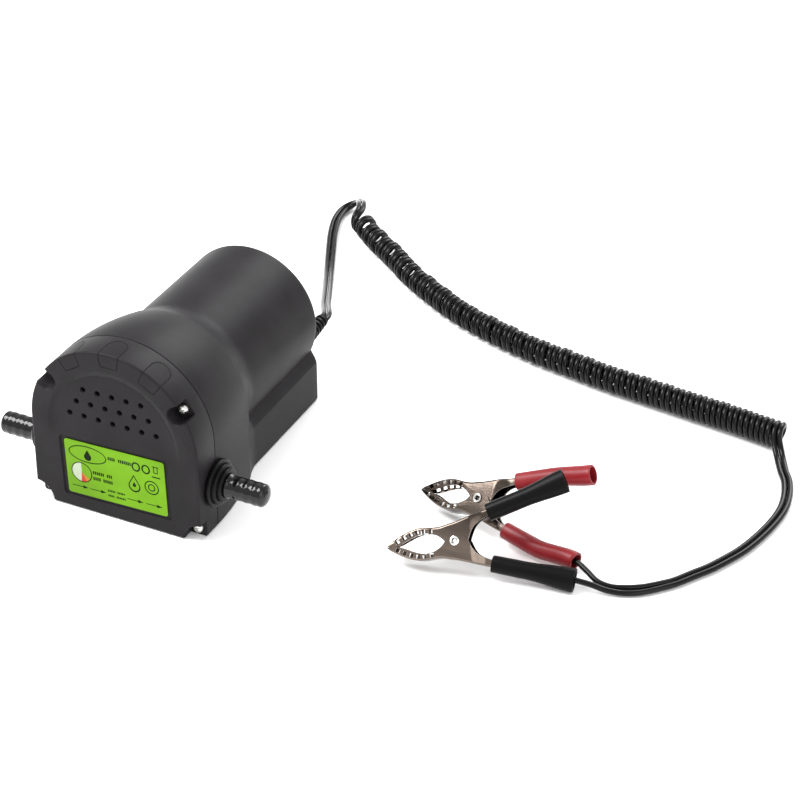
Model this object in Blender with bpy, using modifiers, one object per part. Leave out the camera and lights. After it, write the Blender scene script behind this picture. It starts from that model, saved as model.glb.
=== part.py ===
"""A 12 V fluid transfer pump: gear pump and motor in a two-part plastic body,
with a curly cord that ends in two battery clips.

The front face looks along -Y, the ports leave along X and the body stands on Z = 0.
Sizes are in millimetres. Heights are above the floor, and `y` is the depth behind the front face.
"""

import math

import bmesh
import bpy
from mathutils import Matrix, Vector

MM = 0.001
GAP = 0.3  # between pieces that touch

# Body
BODY_LENGTH = 158.0
FACE_RADIUS = 52.0
FACE_AXIS_Z = 54.0
WALL = 2.6
FACE_PLATE = 3.0
COVER_DEPTH = 19.0
SHOULDER_INSET = 5.6
SHOULDER_AXIS_Z = 50.7
BARREL_INSET = 9.5
BARREL_AXIS_Z = 50.0
STEP_START = 66.0
STEP_LENGTH = 14.0
UNDERCUT_DEG = 25.0
PLINTH_TOP = 25.6
PLINTH_PROUD = 0.1
REAR_ROUND = 4.0
ARC_SEGMENTS = 22

# Front face
LABEL_SIZE = (62.9, 34.8)
LABEL_CENTRE_Z = 27.6
LABEL_TILT_DEG = 1.8
LABEL_THICKNESS = 0.4
LABEL_RECESS = 1.0
LABEL_MARGIN = 1.6
PANEL_RADIUS = 41.0
PANEL_DEPTH = 1.8
VENT_ROWS = (5, 6, 7)
VENT_PITCH_X = 9.0
VENT_PITCH_Z = 8.3
VENT_TOP_Z = 78.5
VENT_RADIUS = 1.4

# Cover screws
SCREW_SHANK = 1.5
SCREW_HEAD = 3.1
SCREW_HEAD_HEIGHT = 2.2
SCREW_LENGTH = 20.0
SCREW_INSET = 5.0
UPPER_SCREW_DEG = 31.5
UPPER_POCKET_DEPTH = 9.5
UPPER_POCKET_RADIUS = 5.2
LOWER_SCREW_Z = 4.9
LOWER_NOTCH_DEPTH = 7.7
LOWER_NOTCH_RADIUS = 10.5
BOSS_RADIUS = 4.2
BOSS_LENGTH = 14.0

# Ports
PORT_Z = 28.8
PORT_BORE = 2.6
PORT_TUBE = 4.2
PORT_BARB = 5.2
PORT_SHANK = 4.7
GROMMET_GROOVE = 10.0
GROMMET_STEPS = ((13.6, 2.7), (11.6, 2.4), (9.6, 2.3))
GROMMET_INNER = (12.5, 2.6)
CAP_WALL = 1.1
CAP_LENGTH = 24.3
BARB_COUNT = 3
BARB_PITCH = 5.2

# Gear pump
GEAR_TEETH = 12
GEAR_CENTRES = 16.0
GEAR_ADDENDUM = 1.1
GEAR_DEDENDUM = 1.5
GEAR_FACE = 12.0
GEAR_BACKLASH_DEG = 1.6
PRESSURE_DEG = 25.0
CHAMBER_CLEARANCE = 0.45
PUMP_FRONT_Y = 9.7
PUMP_PLATE = 3.0
PUMP_DEPTH = 23.0
PUMP_HALF_WIDTH = 24.0
PUMP_WALL = 5.6
GASKET = 0.5
SHAFT_RADIUS = 3.0
IDLER_PIN_LENGTH = 19.0

# Motor
MOTOR_RADIUS = 23.0
MOTOR_LENGTH = 66.0
CAN_WALL = 1.5
MAGNET_THICKNESS = 4.0
MAGNET_SPAN_DEG = 130.0
ARMATURE_RADIUS = 16.2
ARMATURE_LENGTH = 34.0
ARMATURE_SLOTS = 5
COMMUTATOR_RADIUS = 6.0
COMMUTATOR_LENGTH = 11.0
BUSHING_RADIUS = 6.0
ENDBELL_DEPTH = 6.0

# Switch and strain relief on the rear wall
SWITCH_Z = 62.0
SWITCH_CUTOUT = (19.0, 13.0)
SWITCH_BEZEL = (22.0, 16.0, 2.0)
SWITCH_DEPTH = 15.0
ROCKER_PROUD = 3.0
ROCKER_TILT_DEG = 11.0
RELIEF_REACH = 8.9  # from the barrel's inside to the relief's middle
RELIEF_Z = 36.0
RELIEF_LENGTH = 26.0
RELIEF_RADII = (5.6, 3.7)
RELIEF_NECK = 4.0

# Cord
CORD_RADIUS = 2.35
WIRE_RADIUS = 1.65
COIL_RADIUS = 7.8
LEAD_ROUTE = (
    (31.0, 184.6, 36.0), (30.3, 190.0, 35.5), (26.6, 198.0, 33.0), (17.8, 213.2, 27.0),
    (7.1, 234.9, 19.0), (-5.2, 259.8, 11.0), (-16.2, 282.1, 5.6), (-24.9, 300.1, 3.2),
    (-32.1, 315.4, 2.5), (-38.6, 329.8, 2.5), (-44.2, 344.9, 2.5), (-46.3, 356.0, 2.5),
    (-45.6, 364.0, 2.6), (-41.5, 367.6, 3.0), (-36.6, 364.6, 3.8), (-33.0, 357.0, 5.4),
    (-28.6, 347.4, 7.2), (-24.4, 342.5, 7.9), (-20.8, 339.7, 7.95),
)
COIL_ROUTE = (
    (-20.5, 339.5), (18.0, 309.0), (50.0, 286.0), (82.0, 268.5), (122.0, 254.0),
    (166.0, 244.5), (205.0, 239.0), (250.0, 234.0), (289.0, 229.0), (305.0, 226.5),
)
TAIL_ROUTE = (
    (305.4, 226.4, 7.95), (308.9, 225.2, 7.6), (311.6, 221.0, 6.2), (312.2, 213.6, 3.8),
    (314.4, 203.7, 2.5), (318.8, 193.0, 2.5), (322.6, 181.0, 2.5), (324.6, 168.0, 2.5),
    (324.4, 153.0, 2.5), (321.8, 136.0, 2.5), (316.6, 117.0, 2.5), (308.1, 98.5, 2.5),
    (296.6, 79.9, 2.5), (287.5, 68.8, 2.5),
)
BLACK_WIRE_ROUTE = (
    (288.7, 67.4, 2.4), (284.8, 63.2, 2.1), (275.0, 58.0, 1.9), (264.5, 54.8, 3.4),
    (256.5, 52.9, 5.8), (249.0, 51.5, 6.4), (240.0, 49.9, 6.7),
)
RED_WIRE_ROUTE = (
    (285.8, 69.7, 2.4), (281.6, 66.9, 2.1), (276.0, 63.6, 2.0), (268.0, 60.6, 2.0),
    (259.4, 60.6, 2.6), (251.6, 64.2, 4.6), (244.0, 67.3, 6.2), (236.2, 66.7, 6.2),
)

# Battery clips: x runs from the rivet to the handles, y up and z along the rivet
CLIP_WIDTHS = (13.6, 11.0)
CLIP_SHEET = 1.0
CLIP_RIVET = 1.9
CLIP_OUTER_EDGE = (
    (-36.6, 0.9), (-32.0, 4.2), (-27.3, 6.6), (-18.3, 8.9), (-12.7, 8.6), (-6.2, 8.7), (0.9, 10.4),
    (8.0, 12.7), (16.2, 15.3), (38.0, 21.5),
)
CLIP_INNER_EDGE = (
    (38.0, 18.1), (16.6, 11.9), (12.4, 8.9), (9.7, 6.2), (8.2, 3.0), (6.6, -1.0), (4.4, -3.4), (0.0, -4.4),
    (-4.2, -2.4), (-6.2, 1.6), (-11.2, 4.5), (-15.7, 5.3), (-20.4, 4.6), (-25.3, 2.7), (-30.6, 0.3), (-36.6,
                                                                                                      0.3),
)
CLIP_HANDLE_WIDTH = 6.0
CLIP_NOSE_SHARE = 0.75
CLIP_TAPER = (7.0, 16.0)
CLIP_NOTCHES = 5
CLIP_NOTCH = 1.7
SLEEVE_START = (18.2, 13.6)
SLEEVE_DIRECTION_DEG = 16.5
SLEEVE_LENGTH = 45.0
SLEEVE_WALL = 1.2
SPRING_RADIUS = 3.5
SPRING_WIRE = 0.55
SPRING_TURNS = 3
CLIPS = {
    "black": {"pivot": (184.3, 44.6, 15.0), "turn": (12.0, 38.0, 13.8), "bend": (0.0, 0.0)},
    "red": {"pivot": (180.6, 86.1, 13.95), "turn": (-14.4, 42.7, 13.5), "bend": (4.0, -3.5)},
}

# Colour, roughness and metallic value of each finish
FINISHES = {
    "charcoal_plastic": ((0.032, 0.032, 0.034), 0.55, 0.0),
    "black_rubber": ((0.012, 0.012, 0.013), 0.5, 0.0),
    "black_vinyl": ((0.008, 0.008, 0.009), 0.22, 0.0),
    "red_vinyl": ((0.40, 0.035, 0.045), 0.4, 0.0),
    "label_print": ((0.24, 0.52, 0.02), 0.4, 0.0),
    "zinc_steel": ((0.62, 0.62, 0.6), 0.35, 1.0),
    "nickel_steel": ((0.55, 0.53, 0.5), 0.25, 1.0),
    "cast_aluminium": ((0.6, 0.6, 0.6), 0.45, 1.0),
    "hard_steel": ((0.42, 0.42, 0.44), 0.3, 1.0),
    "bronze": ((0.55, 0.38, 0.18), 0.4, 1.0),
    "copper_windings": ((0.6, 0.25, 0.1), 0.35, 1.0),
    "ferrite": ((0.05, 0.05, 0.055), 0.6, 0.0),
    "carbon": ((0.03, 0.03, 0.03), 0.6, 0.0),
    "gasket_fibre": ((0.25, 0.2, 0.12), 0.9, 0.0),
    "black_switch": ((0.015, 0.015, 0.015), 0.35, 0.0),
}

# Worked out from the sizes above
FRONT_Y = -(BODY_LENGTH + ROCKER_PROUD) / 2
RIM_Y = COVER_DEPTH + GAP
SHOULDER_RADIUS = FACE_RADIUS - SHOULDER_INSET
BARREL_RADIUS = FACE_RADIUS - BARREL_INSET
RELIEF_X = BARREL_RADIUS - WALL - RELIEF_REACH
PORT_Y = COVER_DEPTH + GAP / 2
STEP_END = STEP_START + STEP_LENGTH
MOTOR_Z = PORT_Z + GEAR_CENTRES / 2
IDLER_Z = PORT_Z - GEAR_CENTRES / 2
PUMP_BODY_Y = PUMP_FRONT_Y + PUMP_PLATE + GASKET + 2 * GAP
PUMP_REAR_Y = PUMP_FRONT_Y + PUMP_DEPTH + PUMP_PLATE
GEAR_Y = PUMP_BODY_Y + GAP
MOTOR_Y = PUMP_REAR_Y + GAP
GEAR_OUTER = GEAR_CENTRES / 2 + GEAR_ADDENDUM
CHAMBER_RADIUS = GEAR_OUTER + CHAMBER_CLEARANCE
WALL_OUTSIDE_X = FACE_RADIUS
CAP_START_X = WALL_OUTSIDE_X + GAP + sum(width for _, width in GROMMET_STEPS) + GAP
CAP_RADIUS = PORT_BARB + GAP + CAP_WALL
BARB_END_X = CAP_START_X + CAP_LENGTH - 2 * CAP_WALL - 3.0
TO_X = Matrix.Rotation(math.radians(90), 4, "Y")
TO_MINUS_X = Matrix.Rotation(math.radians(-90), 4, "Y")
TO_Y = Matrix.Rotation(math.radians(-90), 4, "X")

part = None
cutters = None
finishes = {}


def clear_scene():
    """Removes whatever the scene holds."""
    for obj in list(bpy.data.objects):
        bpy.data.objects.remove(obj, do_unlink=True)


def make_collections():
    """One collection for the pump and one for its cutters."""
    global part, cutters
    part = bpy.data.collections.new("fluid_transfer_pump")
    cutters = bpy.data.collections.new("cutters")
    for collection in (part, cutters):
        bpy.context.scene.collection.children.link(collection)


def make_finishes():
    """A Principled material for each finish."""
    for name, (color, roughness, metallic) in FINISHES.items():
        material = bpy.data.materials.new(name)
        material.use_nodes = True
        shader = material.node_tree.nodes["Principled BSDF"]
        shader.inputs["Base Color"].default_value = (*color, 1.0)
        shader.inputs["Roughness"].default_value = roughness
        shader.inputs["Metallic"].default_value = metallic
        finishes[name] = material


def body_point(x, y, z):
    """A point given by its depth y behind the front face, in scene metres."""
    return Vector((x, y + FRONT_Y, z)) * MM


def placed(x, y, z, turn=Matrix()):
    """The matrix of a piece at body point x, y, z."""
    return Matrix.Translation(body_point(x, y, z)) @ turn


def new_object(name, data, finish, matrix=Matrix(), parent=None):
    """An object of the pump or, with no finish, a cutter."""
    obj = bpy.data.objects.new(name, data)
    (part if finish else cutters).objects.link(obj)
    if parent:
        obj.parent = parent
        obj.matrix_parent_inverse = parent.matrix_world.inverted()
    obj.matrix_world = matrix
    if finish:
        data.materials.append(finishes[finish])
    else:
        obj.hide_render = True
        obj.display_type = "WIRE"
    return obj


def new_empty(name, matrix):
    """An empty on a joint's axis, which its moving pieces hang on."""
    empty = bpy.data.objects.new(name, None)
    part.objects.link(empty)
    empty.empty_display_size = 0.02
    empty.matrix_world = matrix
    bpy.context.view_layer.update()
    return empty


def mesh_from(name, bm):
    """A smooth-shaded mesh with sharp edges kept, from a bmesh."""
    bmesh.ops.recalc_face_normals(bm, faces=bm.faces)
    mesh = bpy.data.meshes.new(name)
    bm.to_mesh(mesh)
    bm.free()
    mesh.shade_smooth()
    mesh.set_sharp_from_angle(angle=math.radians(35))
    return mesh


def box(name, low, high, finish=None, matrix=Matrix(), parent=None):
    """A box between two corners, in millimetres in the matrix's frame."""
    bm = bmesh.new()
    bmesh.ops.create_cube(bm, size=1.0)
    low, high = Vector(low) * MM, Vector(high) * MM
    size = high - low
    bmesh.ops.scale(bm, vec=size, verts=bm.verts)
    bmesh.ops.translate(bm, vec=(low + high) / 2, verts=bm.verts)
    return new_object(name, mesh_from(name, bm), finish, matrix, parent)


def rod(name, radius, start, end, finish=None, matrix=Matrix(), segments=24, parent=None):
    """A cylinder along the matrix's Z, from start to end."""
    bm = bmesh.new()
    bmesh.ops.create_cone(
        bm, cap_ends=True, segments=segments, radius1=radius * MM, radius2=radius * MM,
        depth=(end - start) * MM,
    )
    bmesh.ops.translate(bm, vec=(0, 0, (start + end) / 2 * MM), verts=bm.verts)
    return new_object(name, mesh_from(name, bm), finish, matrix, parent)


def turned(name, profile, finish=None, matrix=Matrix(), closed=False, steps=24, parent=None):
    """A turned piece: (radius, height) points from the top down its outer side, about the matrix's Z."""
    bm = bmesh.new()
    verts = [bm.verts.new((radius * MM, 0, height * MM)) for radius, height in profile]
    for one, other in zip(verts, verts[1:] + verts[:1] if closed else verts[1:]):
        bm.edges.new((one, other))
    mesh = bpy.data.meshes.new(name)
    bm.to_mesh(mesh)
    bm.free()
    obj = new_object(name, mesh, finish, matrix, parent)
    screw = obj.modifiers.new("Turn", "SCREW")
    screw.steps = steps
    screw.render_steps = steps
    screw.use_merge_vertices = True
    screw.merge_threshold = 0.00001
    screw.use_smooth_shade = True
    return obj


def outline_mesh(name, points, thickness):
    """The welded mesh of a flat outline in XY, from z = 0 up to its thickness."""
    curve = bpy.data.curves.new(name, "CURVE")
    curve.dimensions = "2D"
    curve.fill_mode = "BOTH"
    curve.extrude = thickness * MM / 2
    spline = curve.splines.new("POLY")
    spline.points.add(len(points) - 1)
    for point, (x, y) in zip(spline.points, points):
        point.co = (x * MM, y * MM, 0, 1)
    spline.use_cyclic_u = True
    guide = bpy.data.objects.new(name, curve)
    cutters.objects.link(guide)
    bpy.context.view_layer.update()
    evaluated = guide.evaluated_get(bpy.context.evaluated_depsgraph_get())
    mesh = bpy.data.meshes.new_from_object(evaluated)
    bpy.data.objects.remove(guide, do_unlink=True)
    bm = bmesh.new()
    bm.from_mesh(mesh)
    bpy.data.meshes.remove(mesh)
    bmesh.ops.remove_doubles(bm, verts=bm.verts, dist=0.000001)
    bmesh.ops.translate(bm, vec=(0, 0, thickness * MM / 2), verts=bm.verts)
    return mesh_from(name, bm)


def plate(name, points, thickness, finish=None, matrix=Matrix(), parent=None):
    """A flat outline with thickness, standing on the matrix's XY plane."""
    return new_object(name, outline_mesh(name, points, thickness), finish, matrix, parent)


def loft_mesh(name, rings):
    """A closed skin through rings of equally many points, with both ends filled."""
    bm = bmesh.new()
    rows = [[bm.verts.new(Vector(point) * MM) for point in ring] for ring in rings]
    for row, following in zip(rows, rows[1:]):
        for i in range(len(row)):
            j = (i + 1) % len(row)
            bm.faces.new((row[i], row[j], following[j], following[i]))
    bm.faces.new(rows[0])
    bm.faces.new(rows[-1])
    return mesh_from(name, bm)


def loft(name, rings, finish=None, matrix=Matrix(), parent=None):
    """A piece skinned through rings, in millimetres in the matrix's frame."""
    return new_object(name, loft_mesh(name, rings), finish, matrix, parent)


def smooth_route(route, spacing):
    """Points about a spacing apart on the Catmull-Rom curve through a route's points."""
    nodes = [Vector(point) for point in route]
    nodes = [2 * nodes[0] - nodes[1], *nodes, 2 * nodes[-1] - nodes[-2]]
    points = []
    for before, start, end, after in zip(nodes, nodes[1:], nodes[2:], nodes[3:]):
        count = max(1, round((end - start).length / spacing))
        for i in range(count):
            t = i / count
            points.append(
                (2 * start + (end - before) * t + (2 * before - 5 * start + 4 * end - after) * t**2
                 + (3 * start - before - 3 * end + after) * t**3) / 2
            )
    points.append(nodes[-2])
    return points


def tube(name, points, radius, finish, resolution=2, matrix=Matrix(), parent=None):
    """A round cord, wire or pin through points, in millimetres in the matrix's frame."""
    curve = bpy.data.curves.new(name, "CURVE")
    curve.dimensions = "3D"
    curve.bevel_depth = radius * MM
    curve.bevel_resolution = resolution
    curve.use_fill_caps = True
    spline = curve.splines.new("POLY")
    spline.points.add(len(points) - 1)
    for point, place in zip(spline.points, points):
        point.co = (*(Vector(place) * MM), 1)
    return new_object(name, curve, finish, matrix, parent)


def change(target, other, operation):
    """Cuts other from target, joins it or keeps what they share, with a Boolean modifier."""
    modifier = target.modifiers.new(other.name, "BOOLEAN")
    modifier.operation = operation
    modifier.object = other
    return target


def cut(target, *others):
    """Cuts each of the others from the target."""
    for other in others:
        change(target, other, "DIFFERENCE")
    return target


def join(target, *others):
    """Joins each of the others, which are kept as helpers, to the target."""
    for other in others:
        change(target, other, "UNION")
    return target


def arc(radius, start_deg, end_deg, segments, centre=(0.0, 0.0)):
    """Points along an arc, both ends included."""
    angles = [math.radians(start_deg + (end_deg - start_deg) * i / segments) for i in range(segments + 1)]
    return [(centre[0] + radius * math.cos(angle),
             centre[1] + radius * math.sin(angle)) for angle in angles]


# ---------------------------------------------------------------- body shape


def body_outline(radius, axis_z, undercut_deg, plinth_half, bottom=0.0):
    """The body's cross-section: an arch that may curve back under itself, on an upright plinth."""
    arch = arc(radius, -undercut_deg, 180 + undercut_deg, ARC_SEGMENTS, (0.0, axis_z))
    left = [(-plinth_half, PLINTH_TOP), (-plinth_half, bottom)]
    return arch + left + [(plinth_half, bottom), (plinth_half, PLINTH_TOP)]


def upright_ring(outline, y):
    """An outline in X and Z, stood up at depth y."""
    return [(x, y, z) for x, z in outline]


def body_station(y):
    """Arch radius, arch axis height and undercut angle of the rear housing at depth y."""
    if y <= STEP_START:
        t = max(0.0, (y - RIM_Y) / (STEP_START - RIM_Y)) ** 1.8
        return (
            FACE_RADIUS + (SHOULDER_RADIUS - FACE_RADIUS) * t,
            FACE_AXIS_Z + (SHOULDER_AXIS_Z - FACE_AXIS_Z) * t,
            0.0,
        )
    t = min(1.0, (y - STEP_START) / STEP_LENGTH)
    ease = (1 - t) ** 1.6
    return (
        BARREL_RADIUS + (SHOULDER_RADIUS - BARREL_RADIUS) * ease,
        BARREL_AXIS_Z + (SHOULDER_AXIS_Z - BARREL_AXIS_Z) * ease,
        UNDERCUT_DEG * t,
    )


def housing_ring(y, inset=0.0, shrink=0.0):
    """The rear housing's outline at depth y, moved in by a wall and by the rounding of its end."""
    radius, axis_z, undercut = body_station(y)
    inward = inset + shrink
    bottom = inset + (shrink if inset == 0 else 0)
    outline = body_outline(radius - inward, axis_z, undercut, radius + PLINTH_PROUD - inward, bottom)
    return upright_ring(outline, y)


def half_width(y):
    """Half the outside width of the body at depth y."""
    return body_station(y)[0] + PLINTH_PROUD


def screw_places():
    """Name, x, z and pocket depth of the four cover screws."""
    reach = FACE_RADIUS - SCREW_INSET
    upper_x = reach * math.cos(math.radians(UPPER_SCREW_DEG))
    upper_z = FACE_AXIS_Z + reach * math.sin(math.radians(UPPER_SCREW_DEG))
    places = []
    for side, sign in (("left", -1), ("right", 1)):
        places.append((f"upper_{side}", sign * upper_x, upper_z, UPPER_POCKET_DEPTH))
        places.append((f"lower_{side}", sign * (reach - 0.2), LOWER_SCREW_Z, LOWER_NOTCH_DEPTH))
    return places


def port_hole(name):
    """The hole that both port grommets sit in, through both sides of the body."""
    reach = FACE_RADIUS + 10
    return rod(name, GROMMET_GROOVE + GAP, -reach, reach, matrix=placed(0, PORT_Y, PORT_Z, TO_X),
               segments=28)


def make_front_cover():
    """The front cover: a shallow arched shell with vents, a label recess and screw pockets."""
    rounding = ((0.0, 1.2), (0.35, 0.35), (1.2, 0.0), (COVER_DEPTH, 0.0))
    rings = []
    for y, inset in rounding:
        outline = body_outline(FACE_RADIUS - inset, FACE_AXIS_Z, 0, FACE_RADIUS - inset, 0.0)
        rings.append(upright_ring(outline, y))
    cover = loft("front_cover", rings, "charcoal_plastic", placed(0, 0, 0))

    inside = FACE_RADIUS - WALL
    outline = body_outline(inside, FACE_AXIS_Z, 0, inside, WALL)
    cavity = loft(
        "front_cavity",
        [upright_ring(outline, y) for y in (FACE_PLATE + PANEL_DEPTH / 2, COVER_DEPTH + 1)],
        matrix=placed(0, 0, 0),
    )
    for name, x, z, depth in screw_places():
        upper = name.startswith("upper")
        radius = UPPER_POCKET_RADIUS + WALL - 0.4 if upper else LOWER_NOTCH_RADIUS + WALL - 0.4
        centre = (x, z) if upper else (math.copysign(FACE_RADIUS, x), 0.0)
        cut(cavity, rod(f"front_boss_{name}", radius, 0, COVER_DEPTH + 2, matrix=placed(centre[0], 0,
                                                                                        centre[1], TO_Y)))
    cut(cover, cavity)

    for name, x, z, depth in screw_places():
        if name.startswith("upper"):
            slot = arc(UPPER_POCKET_RADIUS, 90, 270, 10)
            slot += [(12.0, -UPPER_POCKET_RADIUS), (12.0, UPPER_POCKET_RADIUS)]
            angle = math.atan2(z - FACE_AXIS_Z, x)
            turn = Matrix.Rotation(math.radians(90), 4, "X") @ Matrix.Rotation(angle, 4, "Z")
            pocket = plate(f"front_pocket_{name}", slot, depth + 1, matrix=placed(x, depth, z, turn))
        else:
            corner = math.copysign(FACE_RADIUS, x)
            pocket = rod(f"front_pocket_{name}", LOWER_NOTCH_RADIUS, -1, depth,
                         matrix=placed(corner, 0, 0, TO_Y))
        hole = rod(f"front_hole_{name}", SCREW_SHANK + GAP, 0, COVER_DEPTH + 2,
                   matrix=placed(x, 0, z, TO_Y), segments=12)
        cut(cover, pocket, hole)

    cut(cover, port_hole("front_port_hole"), label_recess(), arch_panel(), *vents())


def label_recess():
    """The shallow rectangle that the label sits in."""
    turn = Matrix.Rotation(math.radians(-LABEL_TILT_DEG), 4, "Y")
    half_x, half_z = (size / 2 + LABEL_MARGIN for size in LABEL_SIZE)
    return box("label_recess", (-half_x, -2, -half_z), (half_x, LABEL_RECESS, half_z),
               matrix=placed(0, 0, LABEL_CENTRE_Z, turn))


def arch_panel():
    """A leaning arch that sinks into the face at its top and fades out at the label's top edge."""
    foot_z = LABEL_CENTRE_Z + LABEL_SIZE[1] / 2
    rise = FACE_AXIS_Z + PANEL_RADIUS - foot_z
    outline = arc(PANEL_RADIUS, 0, 180, 20, (0.0, FACE_AXIS_Z - foot_z)) + [(-PANEL_RADIUS, 0.0),
                                                                            (PANEL_RADIUS, 0.0)]
    lean = Matrix.Rotation(math.radians(90) - math.atan2(PANEL_DEPTH, rise), 4, "X")
    return plate("arch_panel", outline, 10, matrix=placed(0, 0, foot_z, lean))


def vents():
    """The staggered rows of vent holes through the face."""
    holes = []
    for row, count in enumerate(VENT_ROWS):
        z = VENT_TOP_Z - row * VENT_PITCH_Z
        for i in range(count):
            x = (i - (count - 1) / 2) * VENT_PITCH_X
            name = f"vent_{row}_{i}"
            holes.append(rod(name, VENT_RADIUS, -1, FACE_PLATE + PANEL_DEPTH + 2,
                             matrix=placed(x, 0, z, TO_Y), segments=8))
    return holes


def make_label():
    """The printed label, a thin plate in its recess."""
    half_x, half_z = (size / 2 for size in LABEL_SIZE)
    turn = Matrix.Rotation(math.radians(-LABEL_TILT_DEG), 4, "Y")
    back = LABEL_RECESS - GAP
    box("label", (-half_x, back - LABEL_THICKNESS, -half_z), (half_x, back, half_z), "label_print",
        placed(0, 0, LABEL_CENTRE_Z, turn))


def make_rear_housing():
    """The rear housing: a shell that narrows from the cover, then steps down to a barrel on a plinth."""
    front = [RIM_Y + (STEP_START - RIM_Y) * i / 5 for i in range(6)]
    step = [STEP_START + STEP_LENGTH * share for share in (0.33, 0.67, 1.0)]
    end = BODY_LENGTH - REAR_ROUND
    rings = [housing_ring(y) for y in front + step + [end]]
    for share in (0.5, 0.87, 1.0):
        shrink = REAR_ROUND * (1 - math.sqrt(1 - share**2)) * 0.7
        rings.append(housing_ring(end + REAR_ROUND * share, 0.0, shrink))
    housing = loft("rear_housing", rings, "charcoal_plastic", placed(0, 0, 0))

    inner = [housing_ring(y, WALL) for y in [RIM_Y - 1] + front[1:] + step + [BODY_LENGTH - WALL]]
    cavity = loft("rear_cavity", inner, matrix=placed(0, 0, 0))
    for name, x, z, _ in screw_places():
        boss = rod(f"rear_boss_{name}", BOSS_RADIUS, RIM_Y - 2, RIM_Y + BOSS_LENGTH,
                   matrix=placed(x, 0, z, TO_Y))
        cut(cavity, boss)
    cut(housing, cavity)

    for i, y in enumerate((MOTOR_Y + MOTOR_LENGTH * 0.3, MOTOR_Y + MOTOR_LENGTH * 0.85)):
        reach = half_width(y) - WALL / 2
        rib = box(f"cradle_{i}", (-reach, y - 1.5, WALL / 2),
                  (reach, y + 1.5, MOTOR_Z - MOTOR_RADIUS * 0.35),
                  matrix=placed(0, 0, 0))
        join(housing, rib)
    start, end = MOTOR_Y - 6, MOTOR_Y + MOTOR_LENGTH + ENDBELL_DEPTH + 2
    cut(housing, rod("motor_bed", MOTOR_RADIUS + GAP, start, end, matrix=placed(0, 0, MOTOR_Z, TO_Y),
                     segments=32))

    for name, x, z, depth in screw_places():
        end = depth + SCREW_LENGTH + 1
        cut(housing, rod(f"rear_hole_{name}", SCREW_SHANK + GAP, 0, end, matrix=placed(x, 0, z, TO_Y),
                         segments=12))
    half_x, half_z = (size / 2 for size in SWITCH_CUTOUT)
    window = box("switch_cutout", (-half_x, -WALL - 2, -half_z), (half_x, 2, half_z),
                 matrix=placed(0, BODY_LENGTH, SWITCH_Z))
    relief = rod("relief_hole", RELIEF_NECK + GAP, -WALL - 2, 2,
                 matrix=placed(RELIEF_X, BODY_LENGTH, RELIEF_Z, TO_Y))
    cut(housing, port_hole("rear_port_hole"), window, relief)


# ---------------------------------------------------------------- fasteners and ports


def pan_head_screw(name, x, y, z, length):
    """A pan-head screw along Y whose head rests on depth y, with a cross recess."""
    head = SCREW_HEAD_HEIGHT
    profile = [(0, length), (SCREW_SHANK * 0.4, length), (SCREW_SHANK, length - 1.6), (SCREW_SHANK, 0),
               (SCREW_HEAD, 0), (SCREW_HEAD, -head * 0.5), (SCREW_HEAD * 0.75, -head), (0, -head)]
    screw = turned(name, profile, "zinc_steel", placed(x, y - GAP, z, TO_Y), steps=16)
    for i, angle in enumerate((0, 90)):
        turn = TO_Y @ Matrix.Rotation(math.radians(angle), 4, "Z")
        slot = box(f"{name}_recess_{i}", (-1.7, -0.45, -head - 1), (1.7, 0.45, -head + 1.2),
                   matrix=placed(x, y - GAP, z, turn))
        cut(screw, slot)
    return screw


def make_cover_screws():
    """The four screws that hold the cover to the housing."""
    for name, x, z, depth in screw_places():
        pan_head_screw(f"cover_screw_{name}", x, depth, z, SCREW_LENGTH)


def make_ports():
    """On each side: the barbed fitting, its stepped grommet and the vinyl cap pushed over it."""
    for side, sign, role in (("left", -1, "inlet"), ("right", 1, "outlet")):
        turn = TO_X if sign > 0 else TO_MINUS_X
        home = placed(0, PORT_Y, PORT_Z, turn)
        seat = PUMP_HALF_WIDTH - 9.5
        hex_start = PUMP_HALF_WIDTH + GAP
        barb_start = BARB_END_X - BARB_COUNT * BARB_PITCH
        outer = [(PORT_BORE, BARB_END_X), (PORT_TUBE, BARB_END_X)]
        for i in range(BARB_COUNT):
            top = BARB_END_X - i * BARB_PITCH
            outer += [(PORT_BARB, top - BARB_PITCH * 0.8), (PORT_TUBE, top - BARB_PITCH * 0.9)]
        outer += [(PORT_TUBE, barb_start - 1), (PORT_TUBE, hex_start + 5),
                  (PORT_SHANK + 2.3, hex_start + 5),
                  (PORT_SHANK + 2.3, hex_start), (PORT_SHANK, hex_start), (PORT_SHANK, seat), (PORT_BORE,
                                                                                               seat)]
        turned(f"{role}_barb", outer, "cast_aluminium", home, closed=True, steps=16)
        turned(f"{side}_port_grommet", grommet_profile(), "black_rubber", home, closed=True, steps=32)

        axis = new_empty(f"{side}_cap_axis", placed(sign * CAP_START_X, PORT_Y, PORT_Z, turn))
        turned(f"{side}_port_cap", cap_profile(), "black_vinyl", axis.matrix_world.copy(), steps=20,
               parent=axis)


def grommet_profile():
    """The grommet's section: three rings outside, a groove for the wall and a flange inside."""
    bore = PORT_TUBE + GAP
    outside = WALL_OUTSIDE_X + GAP
    inside = WALL_OUTSIDE_X - WALL - 3 * GAP
    profile, height = [], outside + sum(width for _, width in GROMMET_STEPS)
    profile.append((bore, height))
    for radius, width in reversed(GROMMET_STEPS):
        profile += [(radius - 0.5, height), (radius, height - 0.5), (radius, height - width)]
        height -= width
    flange, width = GROMMET_INNER
    profile += [(GROMMET_GROOVE, outside), (GROMMET_GROOVE, inside), (flange, inside),
                (flange, inside - width)]
    return profile + [(bore, inside - width)]


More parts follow.
